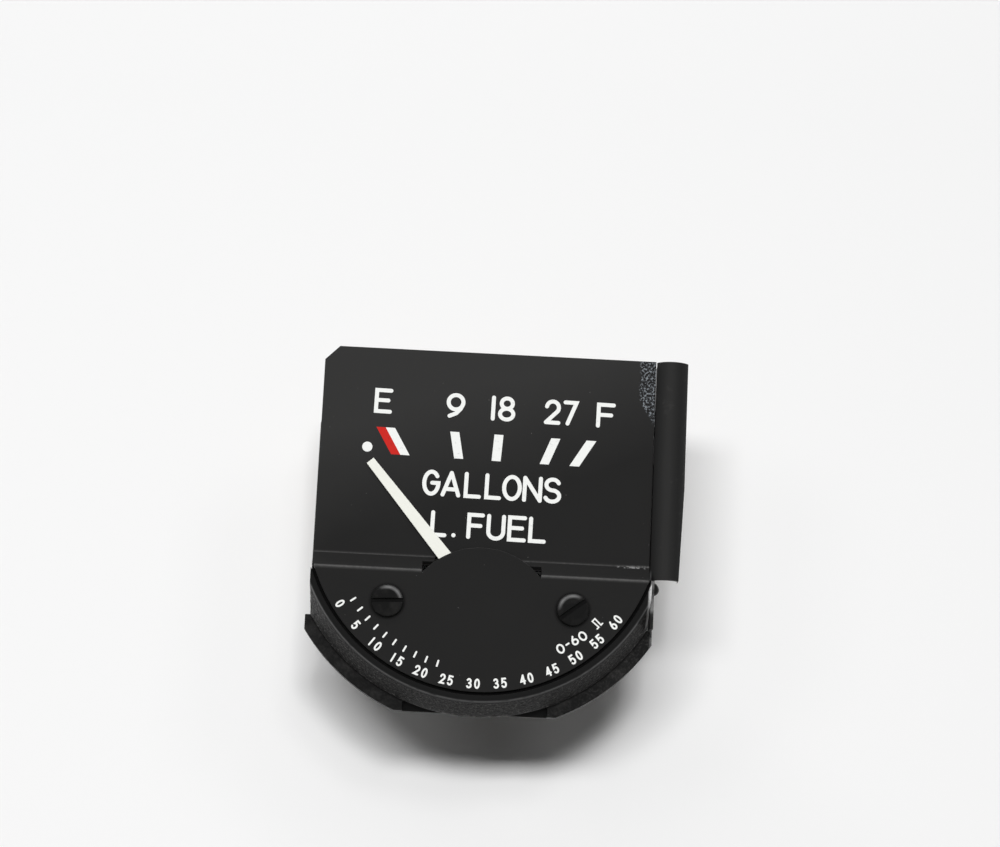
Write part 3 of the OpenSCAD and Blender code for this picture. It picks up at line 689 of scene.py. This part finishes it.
def ink(name, shapes, surface, finish):
    """One closed thin solid of ink that covers all the outlines, in millimetres on the dial."""
    verts, loops = [], []
    for shape in shapes:
        area = sum(a[0] * b[1] - a[1] * b[0] for a, b in zip(shape, shape[1:] + shape[:1]))
        start = len(verts)
        verts += [Vector(p) for p in shape]
        order = list(range(start, len(verts)))
        loops.append(order if area > 0 else order[::-1])
    flat, _, faces, _, _, sources = delaunay_2d_cdt(verts, [], loops, 1, 1e-5)
    kept = [tuple(f) for f, source in zip(faces, sources) if source]
    used = sorted({i for f in kept for i in f})
    index = {v: i for i, v in enumerate(used)}
    kept = [tuple(index[i] for i in f) for f in kept]
    count = len(used)
    top = [(flat[i].x * MM, surface - INK_T * MM, flat[i].y * MM) for i in used]
    base = [(x, surface + INK_SUNK * MM, z) for x, _, z in top]
    edges = {(f[i], f[(i + 1) % len(f)]) for f in kept for i in range(len(f))}
    rim = [(a, b) for a, b in edges if (b, a) not in edges]
    walls = [(b, a, a + count, b + count) for a, b in sorted(rim)]
    backs = [tuple(i + count for i in reversed(f)) for f in kept]
    return piece(name, top + base, kept + backs + walls, finish)


# %% [markdown]
# The ink is a chalky white with a trace of the black showing through where the film is thin. The
# red of the empty mark is the same ink in signal red.

# %% Ink
def dial_ink(name, colour, thin):
    film = Finish(name)
    cover = film.noise(0.5, detail=4, rough=0.65)
    tone = film.blend(cover.above(0.34, 0.16), thin, colour)
    return film.wear(Base_Color=tone, Roughness=0.55 + cover * 0.2, Specular_IOR_Level=0.3,
                     Normal=film.bump(film.noise(0.12, detail=2), 0.006, 0.5))


white_ink = dial_ink("white_ink", (0.82, 0.83, 0.81, 1), (0.62, 0.63, 0.62, 1))
red_ink = dial_ink("red_ink", (0.52, 0.022, 0.017, 1), (0.34, 0.018, 0.014, 1))

# %% Scale
upper_face = dial_front + STEP_DEPTH * MM
LINE = 0.53
TICK_LOW, TICK_HIGH = 7.65, 11.23


def tick(angle, width, offset=0.0):
    """A mark with level ends that points at the print's centre; offset shifts it sideways."""
    slope = math.tan(math.radians(angle))
    corners = []
    for z, sides in ((TICK_LOW, (-1, 1)), (TICK_HIGH, (1, -1))):
        middle = (z - PRINT_Z) * slope + offset
        corners += [skewed(middle + s * width / 2, z) for s in sides]
    return corners


def row(letters, middle, height):
    """Characters given as (key, left edge, width), on one line."""
    shapes = []
    for key, left, width in letters:
        shapes += character(key, left, middle - height / 2, width, height, LINE, skewed)
    return shapes


def dot(x, z, size):
    return [skewed(*p) for p in bow(x, z, size / 2, size / 2, 0, 352.5, 47)]


empty_angle, empty_width = -31.5, 1.235
marks = [tick(empty_angle, empty_width, empty_width / 2)]
marks += [tick(angle, width) for angle, width in ((-11.9, 1.2), (2.7, 1.2), (20.75, 1.2), (30.4, 1.3))]
ink("scale_marks", marks + [dot(-16.24, 8.46, 1.35)], upper_face, white_ink)
ink("empty_mark_red", [tick(empty_angle, empty_width, -empty_width / 2)], upper_face, red_ink)
ink("scale_numbers", row([("E", -15.73, 2.4), ("9", -6.15, 2.5), ("1", -0.16, LINE), ("8", 0.77, 2.3),
                          ("2", 6.92, 2.2), ("7", 9.4, 2.0), ("F", 13.87, 2.5)], 14.8, 3.4),
    upper_face, white_ink)
ink("scale_gallons", row([("G", -8.65, 2.41), ("A", -6.14, 2.61), ("L", -3.11, 2.31),
                          ("L", -0.37, 2.23), ("O", 1.93, 2.61), ("N", 4.65, 2.61),
                          ("S", 7.4, 2.4)], 4.18, 3.5), upper_face, white_ink)
ink("scale_fuel", row([("L", -7.2, 2.2), ("F", -2.4, 2.3), ("U", 0.2, 2.5), ("E", 2.97, 2.5),
                       ("L", 5.75, 2.35)], -1.25, 3.5) + [dot(-4.08, -2.65, 0.55)],
    upper_face, white_ink)
print("marks on the upper face at", round(upper_face / MM, 2), "mm")

# %% [markdown]
# Along the dial's round lower edge runs small print, with its feet outwards. The resistance range of
# the sender stands at the right. The outer line is a plain scale from 0 to 60, and a row of fine
# ticks stands inside its left half. Each character is drawn upright and then turned into its place.

# %% Small print
SMALL_H = 1.33
SMALL_LINE = 0.24
OUTER_R, OUTER_START, OUTER_SPAN, OUTER_STEPS = 22.13, 214.6, 108.6, 12
INNER_R, TICKS_START, TICKS_PITCH, TICK_HALF = 20.4, 215.8, 4.4, 0.35


def around(radius, angle):
    """Gives a function that carries a point drawn upright about (0, 0) to its place on the arc."""
    across, out = math.sin(math.radians(angle)), math.cos(math.radians(angle))

    def placed(x, z):
        return (radius - z) * out - x * across, (radius - z) * across + x * out

    return placed


def small_text(letters, radius, angle, width=0.85, gap=0.3, line=SMALL_LINE):
    """A short word of small characters, centred at that angle, with its feet outwards."""
    total = len(letters) * (width + gap) - gap
    shapes = []
    for i, key in enumerate(letters):
        left = -total / 2 + i * (width + gap)
        shapes += character(key, left, -SMALL_H / 2, width, SMALL_H, line, around(radius, angle))
    return shapes


small = []
for i in range(OUTER_STEPS + 1):
    small += small_text(str(5 * i), OUTER_R, OUTER_START + i * OUTER_SPAN / OUTER_STEPS, 0.75, 0.28)
for key, angle, inwards, width in (("0", -57.9, 0.25, 1.05), ("-", -54.8, 0.3, 0.6),
                                   ("6", -51.9, 0.2, 0.95), ("0", -48.5, 0, 1.05)):
    small += small_text(key, INNER_R - inwards, angle, width)
small += small_text(["ohm"], INNER_R - 0.02, -41.4, 1.2, line=0.19)
for i in range(10):
    placed = around(INNER_R, TICKS_START + i * TICKS_PITCH)
    small += stroke_outlines([placed(0, -TICK_HALF), placed(0, TICK_HALF)], SMALL_LINE / 2)
ink("small_print", small, dial_front, white_ink)

# %% [markdown]
# ## Screws, pointer and light shield
#
# The screws are blacked steel. A grey crescent on the upper crown of each dial screw's head, on
# the side towards the middle of the dial, is a painted highlight, and the slot and the head's side
# are painted near black as shade.
#
# The dial's screws are right in front of the camera, and a bevel can't turn a flat disc into a
# crowned head, so they are built. Each half of the head is a fan of rings on its side of the slot,
# the slot has a floor and two open ends, and a plain shank goes down through the dial.

# %% Blacked screws
def blacked(name):
    oxide = Finish(name)
    film = oxide.noise(1.4, detail=4)
    turned_grain = oxide.noise(0.1, detail=2)
    side, rise, out = from_screw(oxide)
    front = dial_front / MM
    # Painted shade: the slot and the head's side are painted near black.
    painted_slot_shade = oxide.y.above(front - 0.63, 0.08) * (front + 0.5 - oxide.y).above(0, 0.1)
    # Painted highlight: a grey crescent on the upper crown of each dial screw's head.
    crown = out.near(1.72, 0.34) * (rise - side * 0.6).above(1.25, 0.9) * (film * 1.2 + 0.3)
    tone = oxide.blend(film.above(0.6, 0.3), grey(0.004), grey(0.014, 0.03))
    tone = oxide.blend((crown * (1 - painted_slot_shade)).clamped(), tone, grey(0.17))
    tone = oxide.blend(painted_slot_shade, tone, grey(0.001))
    return oxide.wear(Base_Color=tone, Roughness=0.26 + film * 0.16, Specular_IOR_Level=0.1,
                      Normal=oxide.bump(turned_grain, 0.008, 0.4))


black_oxide = blacked("black_oxide")
soften("case_screws", black_oxide, 0.07)

# %% Dial screws
HEAD_R, HEAD_H, HEAD_SIDE = 2.12, 1.2, 0.62
SLOT_HALF, SLOT_FLOOR = 0.28, 0.5
SHANK_R, SHANK_L, SHANK_MIDDLE = 1.05, 3.5, -1.7
HEAD_RINGS, HEAD_SPOKES = 12, 28


def half_head(made, place, sign):
    """The crowned half of a head on one side of its slot, down to the washer face."""
    rings = []
    for i in range(HEAD_RINGS + 1):
        r = SLOT_HALF + (HEAD_R - SLOT_HALF) * math.sin(math.radians(90 / HEAD_RINGS * i))
        crown = math.sqrt(max(1 - (r / HEAD_R) ** 2.4, 0))
        rings.append((r, HEAD_SIDE + (HEAD_H - HEAD_SIDE) * crown))
    rings += [(HEAD_R, SLOT_FLOOR), (HEAD_R, 0)]
    rows = []
    for r, height in rings:
        open_angle = math.acos(min(SLOT_HALF / r, 1))
        angles = [open_angle * (2 * j / HEAD_SPOKES - 1) for j in range(HEAD_SPOKES + 1)]
        points = [Vector((sign * r * math.cos(a), sign * r * math.sin(a), height)) for a in angles]
        rows.append([made.verts.new(place @ point) for point in points])
    for low, high in zip(rows, rows[1:]):
        for j in range(HEAD_SPOKES):
            made.faces.new((low[j], low[j + 1], high[j + 1], high[j]))
    made.faces.new([row[0] for row in rows[-2::-1]] + [row[-1] for row in rows[1:-1]])
    return rows[-2], rows[-1]


def slotted_screws(name, finish):
    """Both dial screws, each with a crowned head, an open slot and a plain shank."""
    made = bmesh.new()
    for x, turn in ((-SCREW_X, 3), (SCREW_X, 37)):
        place = (Matrix.Translation((x * MM, dial_front, SCREW_Z * MM))
                 @ Matrix.Rotation(math.pi / 2, 4, "X")
                 @ Matrix.Rotation(math.radians(turn - 90), 4, "Z") @ Matrix.Scale(MM, 4))
        right = half_head(made, place, 1)
        left = half_head(made, place, -1)
        made.faces.new((right[0][0], right[0][-1], left[0][0], left[0][-1]))
        for near, far in ((right, left), (left, right)):
            made.faces.new((near[0][-1], near[1][-1], far[1][0], far[0][0]))
        made.faces.new(right[1] + left[1])
        bmesh.ops.create_cone(made, cap_ends=True, segments=32, radius1=SHANK_R, radius2=SHANK_R,
                              depth=SHANK_L, matrix=place @ Matrix.Translation((0, 0, SHANK_MIDDLE)))
    bmesh.ops.remove_doubles(made, verts=made.verts, dist=0.001 * MM)
    bmesh.ops.dissolve_degenerate(made, edges=made.edges, dist=0.0001 * MM)
    bmesh.ops.recalc_face_normals(made, faces=made.faces)
    screws = built_piece(name, made, finish)
    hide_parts("dial_screws")


slotted_screws("slotted_screws", black_oxide)

# %% [markdown]
# The pointer is thin sheet sprayed a chalky cream. The shield is a rolled strip in satin black,
# smoother than the dial, with long streaks from handling, a painted highlight band down the front
# of its roll, and a bare spot at its foot. Both are plain shapes, so the imported pieces keep their
# form and get a paint and soft edges.

# %% Pointer paint
def pointer_paint():
    paint = Finish("pointer_cream")
    spray = paint.noise(0.16, detail=3)
    patches = paint.noise(2.2, detail=3)
    tone = paint.blend(patches, (0.77, 0.775, 0.71, 1), (0.82, 0.825, 0.77, 1))
    specks = (0.03 - paint.cells(0.9)) / 0.02
    tone = paint.blend(specks.clamped() * 0.5, tone, grey(0.3, 0.05))
    return paint.wear(Base_Color=tone, Roughness=0.6 + patches * 0.15,
                      Normal=paint.bump(spray, 0.008, 0.5))


pointer_cream = pointer_paint()
soften("pointer", pointer_cream, 0.04)


# %% Shield paint
def shield_paint():
    paint = Finish("shield_satin_black")
    streaks = paint.noise(1.0, detail=4, at=paint.stretched(1.6, 1.6, 0.12))
    peel = paint.noise(0.3, detail=2)
    scuffs = paint.noise(2.6, detail=5, rough=0.7)
    # Painted highlight: a lighter, streaked band down the front of the roll.
    painted_highlight_band = paint.x.near(23.9, 1.4) * (0.8 + streaks * 0.8)
    specks = paint.x.above(25.9, 0.6) * paint.noise(0.4, detail=3).above(0.62, 0.06)
    foot = paint.z.near(-8.9, 2.9).above(0.1, 0.2)
    bare = paint.y.near(dial_front / MM + 1.3, 0.35) * foot
    tone = paint.blend(painted_highlight_band.clamped() * 0.9, grey(0.005), grey(0.016, 0.01))
    tone = paint.blend(scuffs.above(0.66, 0.1) * 0.5 + specks * 0.7, tone, grey(0.03, 0.02))
    tone = paint.blend(bare * scuffs.above(0.42, 0.2) * 0.8, tone, grey(0.2))
    return paint.wear(Base_Color=tone, Roughness=0.4 + streaks * 0.18, Specular_IOR_Level=0.2,
                      Normal=paint.bump(peel, 0.008, 0.4))


shield_black = shield_paint()
soften("light_shield", shield_black, 0.05)
soften("shield_rivets", black_oxide, 0.04)
print("pointer and shield dressed")

# %% [markdown]
# ## The case
#
# The front shell has three finishes in one coat of black: a smooth lip next to the dial, a rough
# crackle on the band behind it, and bare grey chips along the rear edge, where the shell has been
# knocked. A thin painted highlight, partly edge wear, runs along the lip's edge. The corner under
# the light shield is rubbed to bright metal, and the wall that faces the dial's edge is painted near
# black as shade. Where each begins follows from the radius and the depth, which the finish works
# out from the place. Specks of dust sit in the crackle. The shell's sizes come first, because its
# paint and its shape both follow them; depths count from the dial's face.

# %% The shell's sizes
SHELL_R, LIP_R, RECESS_R, CAVITY_R = 26.0, 24.5, 23.65, 22.4
FLAT_X, FLAT_TOP, SHELL_WALL = 22.3, 21.5, 1.7
LIP_D, SEAT_D, UPPER_D, BAND_END_D, SHELL_D = -0.3, 0.95, 2.5, 4.8, 5.3
STEP_ANGLE = 19.95
BOSS_X, BOSS_Z, BOSS_R, BOSS_END = 16.9 * 0.975, 16.2 * 0.975, 1.9, 5.2
shell_rear = dial_front / MM + SHELL_D
print("front shell's rear edge at", round(shell_rear, 2), "mm")


# %% Case paint
def case_paint():
    paint = Finish("case_crackle_black")
    radius = (paint.x * paint.x + paint.z * paint.z) ** 0.5
    lip = dial_front / MM
    band = paint.y.above(lip + 0.5, 0.3)
    rough = paint.noise(0.5, detail=5, rough=0.7)
    cells = paint.cells(0.55, "SMOOTH_F1")
    crackle = rough * 0.7 + cells * 0.5
    outside = radius.above(SHELL_R - 1, 0.5).most(paint.x.size().above(FLAT_X - 0.4, 0.3))
    edge = paint.y.above(shell_rear - 0.65, 0.5) * outside
    chips = (edge * rough.above(0.54, 0.06) * paint.noise(3.4, detail=2).above(0.5, 0.2)).clamped()
    # Painted highlight, partly edge wear: a thin lighter line along the lip's outer edge.
    rim = paint.y.near(lip - 0.16, 0.2) * radius.near(LIP_R - 0.04, 0.18)
    rim = rim * paint.noise(1.9).above(0.36, 0.2)
    rear = paint.noise(1.3, detail=3).above(0.38, 0.15) * 0.8 + 0.1
    rear = paint.y.near(shell_rear - 0.04, 0.14) * rear
    speckle = paint.noise(0.3, detail=3, rough=0.8).above(0.58, 0.1)
    dust = band * (rough.above(0.5, 0.3) * 0.1 + speckle * 0.8)
    corner = paint.x.above(FLAT_X - 0.35, 0.25) * paint.z.near(-10.4, 3.8).above(0.1, 0.3)
    corner = corner * (shell_rear - 1.2 - paint.y).above(0, 1)
    # Painted shade: the recess wall that faces the dial's edge is painted near black.
    under = (RECESS_R + 0.07 - radius).above(0, 0.1) * paint.y.above(lip + 0.1, 0.3)
    tone = paint.blend(dust, grey(0.0045), grey(0.085, 0.03))
    tone = paint.blend((rim * 0.85 + rear * 0.8).clamped(), tone, grey(0.12))
    tone = paint.blend(corner * rough.above(0.34, 0.12), tone, grey(0.5))
    tone = paint.blend(under, tone, grey(0.003))
    tone = paint.blend(chips, tone, grey(0.16, 0.01))
    relief = paint.bump(crackle * band, 0.26, 1.0)
    return paint.wear(Base_Color=tone, Roughness=0.42 + band * 0.2,
                      Specular_IOR_Level=0.12, Normal=relief)


case_black = case_paint()

# %% [markdown]
# The shell is lofted: one profile is carried round the axis in fine steps, and cut off by the
# flats where it would pass them. Below the step the profile has the lip and the recess that the
# dial lies in; above it the shell stops behind the dial's upper half. Between the lip and the rear
# edge the points are pushed in by a small noise, so the crackle is real relief and shows on the
# outline too.

# %% Front shell
BAND_STEPS, FINE_STEP, COARSE_STEPS = 44, 0.25, 220


def shell_column(angle, upper):
    """The shell's outer and inner profile in the plane at that angle, as (radius, depth) points."""
    side, rise = abs(math.cos(angle)), math.sin(angle)

    def within(radius, trim=0.0):
        radius = min(radius, (FLAT_X - trim) / max(side, 1e-9))
        return min(radius, (FLAT_TOP - trim) / rise) if rise > 1e-9 else radius

    front = UPPER_D if upper else LIP_D
    points = [(SHELL_R - 0.1, SHELL_D), (SHELL_R - 0.03, SHELL_D - 0.03), (SHELL_R, SHELL_D - 0.12)]
    points += [(SHELL_R - (SHELL_R - LIP_R) * i / BAND_STEPS, BAND_END_D - BAND_END_D * i / BAND_STEPS)
               for i in range(BAND_STEPS + 1)]
    points += [(LIP_R + LIP_D - LIP_D * math.cos(math.radians(a)), LIP_D * math.sin(math.radians(a)))
               for a in (22, 45, 67, 90)]
    outer = [(within(radius), max(depth, front)) for radius, depth in points]
    inner = [(RECESS_R + 0.07, LIP_D), (RECESS_R + 0.02, LIP_D + 0.02), (RECESS_R, LIP_D + 0.07),
             (RECESS_R, SEAT_D)]
    cavity = within(CAVITY_R, SHELL_WALL)
    inner = [(max(min(within(radius), outer[-1][0]), cavity), max(depth, front))
             for radius, depth in inner]
    return outer, inner + [(cavity, max(SEAT_D, front)), (cavity, SHELL_D)]


def crackled(point, depth):
    """How far the paint's relief lies below the surface there, in millimetres."""
    behind_lip, before_rear = (depth - 0.35) / 0.5, (SHELL_D - 0.2 - depth) / 0.3
    share = min(max(behind_lip, 0), 1) * min(max(before_rear, 0), 1)
    grain = noise.noise(point * 2.6) * 0.65 + noise.noise(point * 6.1) * 0.35
    pits = min(max(0.5 - noise.noise(point * 1.3 + Vector((7, 0, 0))), 0), 1)
    return share * (0.045 + 0.07 * grain + 0.03 * pits)


def front_shell(name, finish):
    """The lofted shell with its four screw bosses, in fine steps where the crackle is."""
    steps = int((180 - 2 * STEP_ANGLE) / FINE_STEP)
    fine = [180 + STEP_ANGLE + FINE_STEP * i for i in range(steps)] + [360 - STEP_ANGLE]
    coarse = [-STEP_ANGLE + (180 + 2 * STEP_ANGLE) * i / COARSE_STEPS
              for i in range(COARSE_STEPS + 1)]
    made = bmesh.new()
    columns = []
    for angles, upper in ((coarse, True), (fine, False)):
        for degrees in angles:
            angle = math.radians(degrees)
            outwards = Vector((math.cos(angle), 0, math.sin(angle)))
            outer, inner = shell_column(angle, upper)
            column = []
            for number, (radius, depth) in enumerate(outer + inner):
                point = Vector((radius * math.cos(angle), depth, radius * math.sin(angle)))
                if not upper and number < len(outer):
                    point -= crackled(point, depth) * outwards
                column.append(made.verts.new((point.x * MM, dial_front + depth * MM, point.z * MM)))
            columns.append(column)
    for here, after in zip(columns, columns[1:] + columns[:1]):
        for k in range(len(here)):
            j = (k + 1) % len(here)
            made.faces.new((here[k], here[j], after[j], after[k]))
    bmesh.ops.remove_doubles(made, verts=made.verts, dist=0.002 * MM)
    bmesh.ops.recalc_face_normals(made, faces=made.faces)
    for x, z in ((-BOSS_X, -BOSS_Z), (BOSS_X, -BOSS_Z), (-BOSS_X, BOSS_Z), (BOSS_X, BOSS_Z)):
        low = (SEAT_D if z < 0 else UPPER_D) + 0.02
        middle = dial_front + (low + BOSS_END) / 2 * MM
        place = Matrix.Translation((x * MM, middle, z * MM)) @ Matrix.Rotation(math.pi / 2, 4, "X")
        bmesh.ops.create_cone(made, cap_ends=True, segments=32, radius1=BOSS_R * MM,
                              radius2=BOSS_R * MM, depth=(BOSS_END - low) * MM, matrix=place)
    shell = built_piece(name, made, finish, sharp=62)
    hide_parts("case_front")


front_shell("front_shell", case_black)

# %% [markdown]
# The rear case has the same black, but smooth. It is rubbed along the right end of its ears, and
# the recess between the two lower ears is painted near black as deep shade. A gasket of black
# rubber lies between the two shells.

# %% Rear case
RECESS_HALF, RECESS_TOP, EARS_RIGHT = 9.6, -22.6, 22.75


def can_paint():
    paint = Finish("case_smooth_black")
    peel = paint.noise(0.4, detail=3)
    rubbed = paint.noise(2.4, detail=5, rough=0.68)
    between_ears = (RECESS_HALF - paint.x.size()).above(0, 0.1)
    # Painted shade: the recess between the two lower ears is painted near black.
    painted_recess_shade = between_ears * (RECESS_TOP - paint.z).above(0, 0.2)
    speckle = paint.noise(0.3, detail=3, rough=0.75).above(0.57, 0.12)
    speckle = speckle * (0.35 + paint.x.above(14, 14) * 0.6)
    knocked = paint.x.above(EARS_RIGHT, 0.3) * rubbed.above(0.45, 0.1) * 0.8
    tone = paint.blend(rubbed.above(0.56, 0.2) * 0.4 + speckle * 0.6, grey(0.0045), grey(0.032, 0.02))
    tone = paint.blend(knocked, tone, grey(0.16))
    tone = paint.blend(painted_recess_shade, tone, grey(0.0012))
    return paint.wear(Base_Color=tone, Roughness=0.38 + rubbed * 0.2,
                      Specular_IOR_Level=0.13,
                      Normal=paint.bump(peel, 0.015, 0.5))


can_black = can_paint()
soften("case_back", can_black, 0.12)


def rubber():
    """Black sheet rubber with a dusty bloom."""
    sheet = Finish("gasket_rubber")
    bloom = sheet.noise(0.8, detail=4)
    tone = sheet.blend(bloom, grey(0.008), grey(0.02, 0.02))
    return sheet.wear(Base_Color=tone, Roughness=0.7 + bloom * 0.2,
                      Normal=sheet.bump(sheet.noise(0.2), 0.01, 0.5))


soften("case_gasket", rubber(), 0.05)

# %% [markdown]
# ## Metals
#
# The terminals, the washers and the movement inside are bare metal. One function gives them all:
# a colour, a darker stain that a slow noise spreads, fine scratches along one direction, and a
# roughness that follows both. A second function gives what is moulded, laminated or varnished.

# %% Bare metals
def bare_metal(name, colour, stain, roughness, grain=(1, 8, 1), spots=0.55):
    metal = Finish(name)
    cloud = metal.noise(2.2, detail=5, rough=0.62)
    scratches = metal.noise(0.35, detail=3, at=metal.stretched(*grain))
    tarnish = cloud.above(spots, 0.3)
    tone = metal.blend(tarnish * 0.8, (*colour, 1), (*stain, 1))
    return metal.wear(Base_Color=tone, Metallic=1.0 - tarnish * 0.25,
                      Roughness=roughness + tarnish * 0.2 + scratches * 0.12,
                      Normal=metal.bump(scratches, 0.006, 0.5))


def plain_solid(name, colour, dark, roughness, grain_size=0.5):
    """Moulded, laminated or varnished stuff: two tones of one colour and a fine skin."""
    stuff = Finish(name)
    mottle = stuff.noise(grain_size, detail=4)
    tone = stuff.blend(mottle.above(0.5, 0.5), (*colour, 1), (*dark, 1))
    return stuff.wear(Base_Color=tone, Roughness=roughness + mottle * 0.15,
                      Normal=stuff.bump(stuff.noise(0.15), 0.01, 0.5))


brass = bare_metal("brass_turned", (0.62, 0.44, 0.17), (0.3, 0.19, 0.08), 0.26)
stud_brass = bare_metal("brass_dulled", (0.56, 0.4, 0.16), (0.22, 0.14, 0.07), 0.32, (1, 1, 1), 0.48)
steel = bare_metal("steel_bright", (0.56, 0.57, 0.58), (0.3, 0.28, 0.26), 0.3)
iron = bare_metal("soft_iron", (0.27, 0.27, 0.28), (0.14, 0.12, 0.11), 0.42)
bridge_metal = bare_metal("bridge_aluminium", (0.66, 0.67, 0.69), (0.42, 0.42, 0.42), 0.36, (1, 1, 10))
tinned = bare_metal("tinned_brass", (0.62, 0.58, 0.46), (0.4, 0.36, 0.26), 0.34)
jewel = plain_solid("bearing_red", (0.33, 0.03, 0.05), (0.2, 0.015, 0.03), 0.1)
bobbin_cream = plain_solid("bobbin_moulding", (0.66, 0.6, 0.43), (0.55, 0.48, 0.32), 0.42)
card_brown = plain_solid("laminated_card", (0.5, 0.39, 0.2), (0.34, 0.24, 0.11), 0.5, 0.25)
sleeve_brown = plain_solid("wire_sleeve", (0.15, 0.09, 0.06), (0.08, 0.05, 0.03), 0.45, 0.2)
fibre_red = plain_solid("vulcanised_fibre", (0.2, 0.06, 0.035), (0.11, 0.035, 0.022), 0.5, 0.8)
enamel = plain_solid("enamelled_copper", (0.36, 0.11, 0.04), (0.2, 0.06, 0.025), 0.22, 0.3)

# %% [markdown]
# ## The terminal studs
#
# A thread is one groove that winds round the stud, so its radius depends on the height and the
# angle together. The rows of points climb by one pitch in a full turn, which keeps every crest in
# one row, and they are held back at both ends of the thread: points that meet there are merged.

# %% Threaded studs
THREAD_R, THREAD_ROOT, THREAD_PITCH = 2.08, 1.72, 0.794
FLANK_SLOPE, CREST_FLAT, TIP_CHAMFER, TIP_SLOPE = 2.7, 0.2, 0.5, 0.9
NECK_R, NECK_L, NECK_SLOPE = 1.7, 0.6, 0.15
STUD_HEAD_R, STUD_HEAD_T, STUD_HEAD_EDGE = 3.0, 0.9, 0.15
TURN_STEPS, PITCH_STEPS = 40, 6


def thread_radius(height, turn, length):
    """The radius at a height above the thread's start; turn is the share of a full turn."""
    phase = (height / THREAD_PITCH - turn) % 1
    flank = min(max(abs(phase - 0.5) * FLANK_SLOPE - CREST_FLAT, 0), 1)
    in_tip = max(height - length + TIP_CHAMFER, 0)
    return min(THREAD_R - (THREAD_R - THREAD_ROOT) * flank, THREAD_R - TIP_SLOPE * in_tip)


def stud_column(turn, start, end, tip):
    """One column of a stud as (radius, height) points, from the head to the tip."""
    shoulder, neck = start + STUD_HEAD_T, end - NECK_L
    points = [(STUD_HEAD_R - STUD_HEAD_EDGE, start), (STUD_HEAD_R, start + STUD_HEAD_EDGE),
              (STUD_HEAD_R, shoulder - STUD_HEAD_EDGE), (STUD_HEAD_R - STUD_HEAD_EDGE, shoulder),
              (THREAD_R, shoulder), (THREAD_R, neck - NECK_SLOPE), (NECK_R, neck), (NECK_R, end)]
    length = tip - end
    for k in range(-PITCH_STEPS, int(length / THREAD_PITCH * PITCH_STEPS) + 2):
        height = min(max((k / PITCH_STEPS + turn) * THREAD_PITCH, 0), length)
        points.append((thread_radius(height, turn, length), end + height))
    return points


def threaded_studs(name, finish):
    """The three studs, each with its head inside the case and its thread outside."""
    low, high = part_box("terminal_studs")
    start, tip, end = low.y / MM, high.y / MM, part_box("lug_nuts")[1].y / MM
    axis_z = high.z / MM - STUD_HEAD_R
    made = bmesh.new()
    for axis_x in (low.x / MM + STUD_HEAD_R, (low.x + high.x) / 2 / MM, high.x / MM - STUD_HEAD_R):
        columns = []
        for i in range(TURN_STEPS + 1):
            across, up = math.cos(math.tau * i / TURN_STEPS), math.sin(math.tau * i / TURN_STEPS)
            columns.append([made.verts.new(((axis_x + r * across) * MM, y * MM, (axis_z + r * up) * MM))
                            for r, y in stud_column(i / TURN_STEPS, start, end, tip)])
        for here, after in zip(columns, columns[1:]):
            for k in range(len(here) - 1):
                made.faces.new((here[k], here[k + 1], after[k + 1], after[k]))
        made.faces.new([column[0] for column in columns[:-1]])
        made.faces.new([column[-1] for column in columns[-2::-1]])
    bmesh.ops.remove_doubles(made, verts=made.verts, dist=0.0005 * MM)
    bmesh.ops.recalc_face_normals(made, faces=made.faces)
    studs = built_piece(name, made, finish)
    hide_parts("terminal_studs")


threaded_studs("threaded_studs", stud_brass)

# %% [markdown]
# ## The remaining pieces
#
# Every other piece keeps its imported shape. A table gives each finish its pieces and how round their
# edges are: a small pressed washer is sharper than a moulded bobbin.

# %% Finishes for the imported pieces
for finish, width, names in (
        (brass, 0.04, ["dial_pillars", "pointer_hub", "counterweight", "armature_sleeve",
                       "bridge_pillars", "resistor_rivets"]),
        (steel, 0.03, ["pointer_shaft", "bridge_screws", "yoke_screws", "stop_pins",
                       "movement_screws", "plain_washers", "lock_washers"]),
        (iron, 0.05, ["armature", "empty_core", "full_core", "yoke", "return_magnet"]),
        (bridge_metal, 0.06, ["front_bridge", "back_bridge"]),
        (jewel, 0.03, ["front_bearing", "back_bearing"]),
        (bobbin_cream, 0.08, ["empty_bobbin", "full_bobbin"]),
        (enamel, 0.05, ["empty_coil", "full_coil", "resistor_winding"]),
        (card_brown, 0.04, ["resistor_card"]),
        (sleeve_brown, 0.03, ["lead_wires"]),
        (tinned, 0.04, ["solder_lugs"]),
        (fibre_red, 0.04, ["stud_bushes", "fibre_washers"]),
        (stud_brass, 0.05, ["stud_nuts", "lug_nuts"])):
    for name in names:
        soften(name, finish, width)
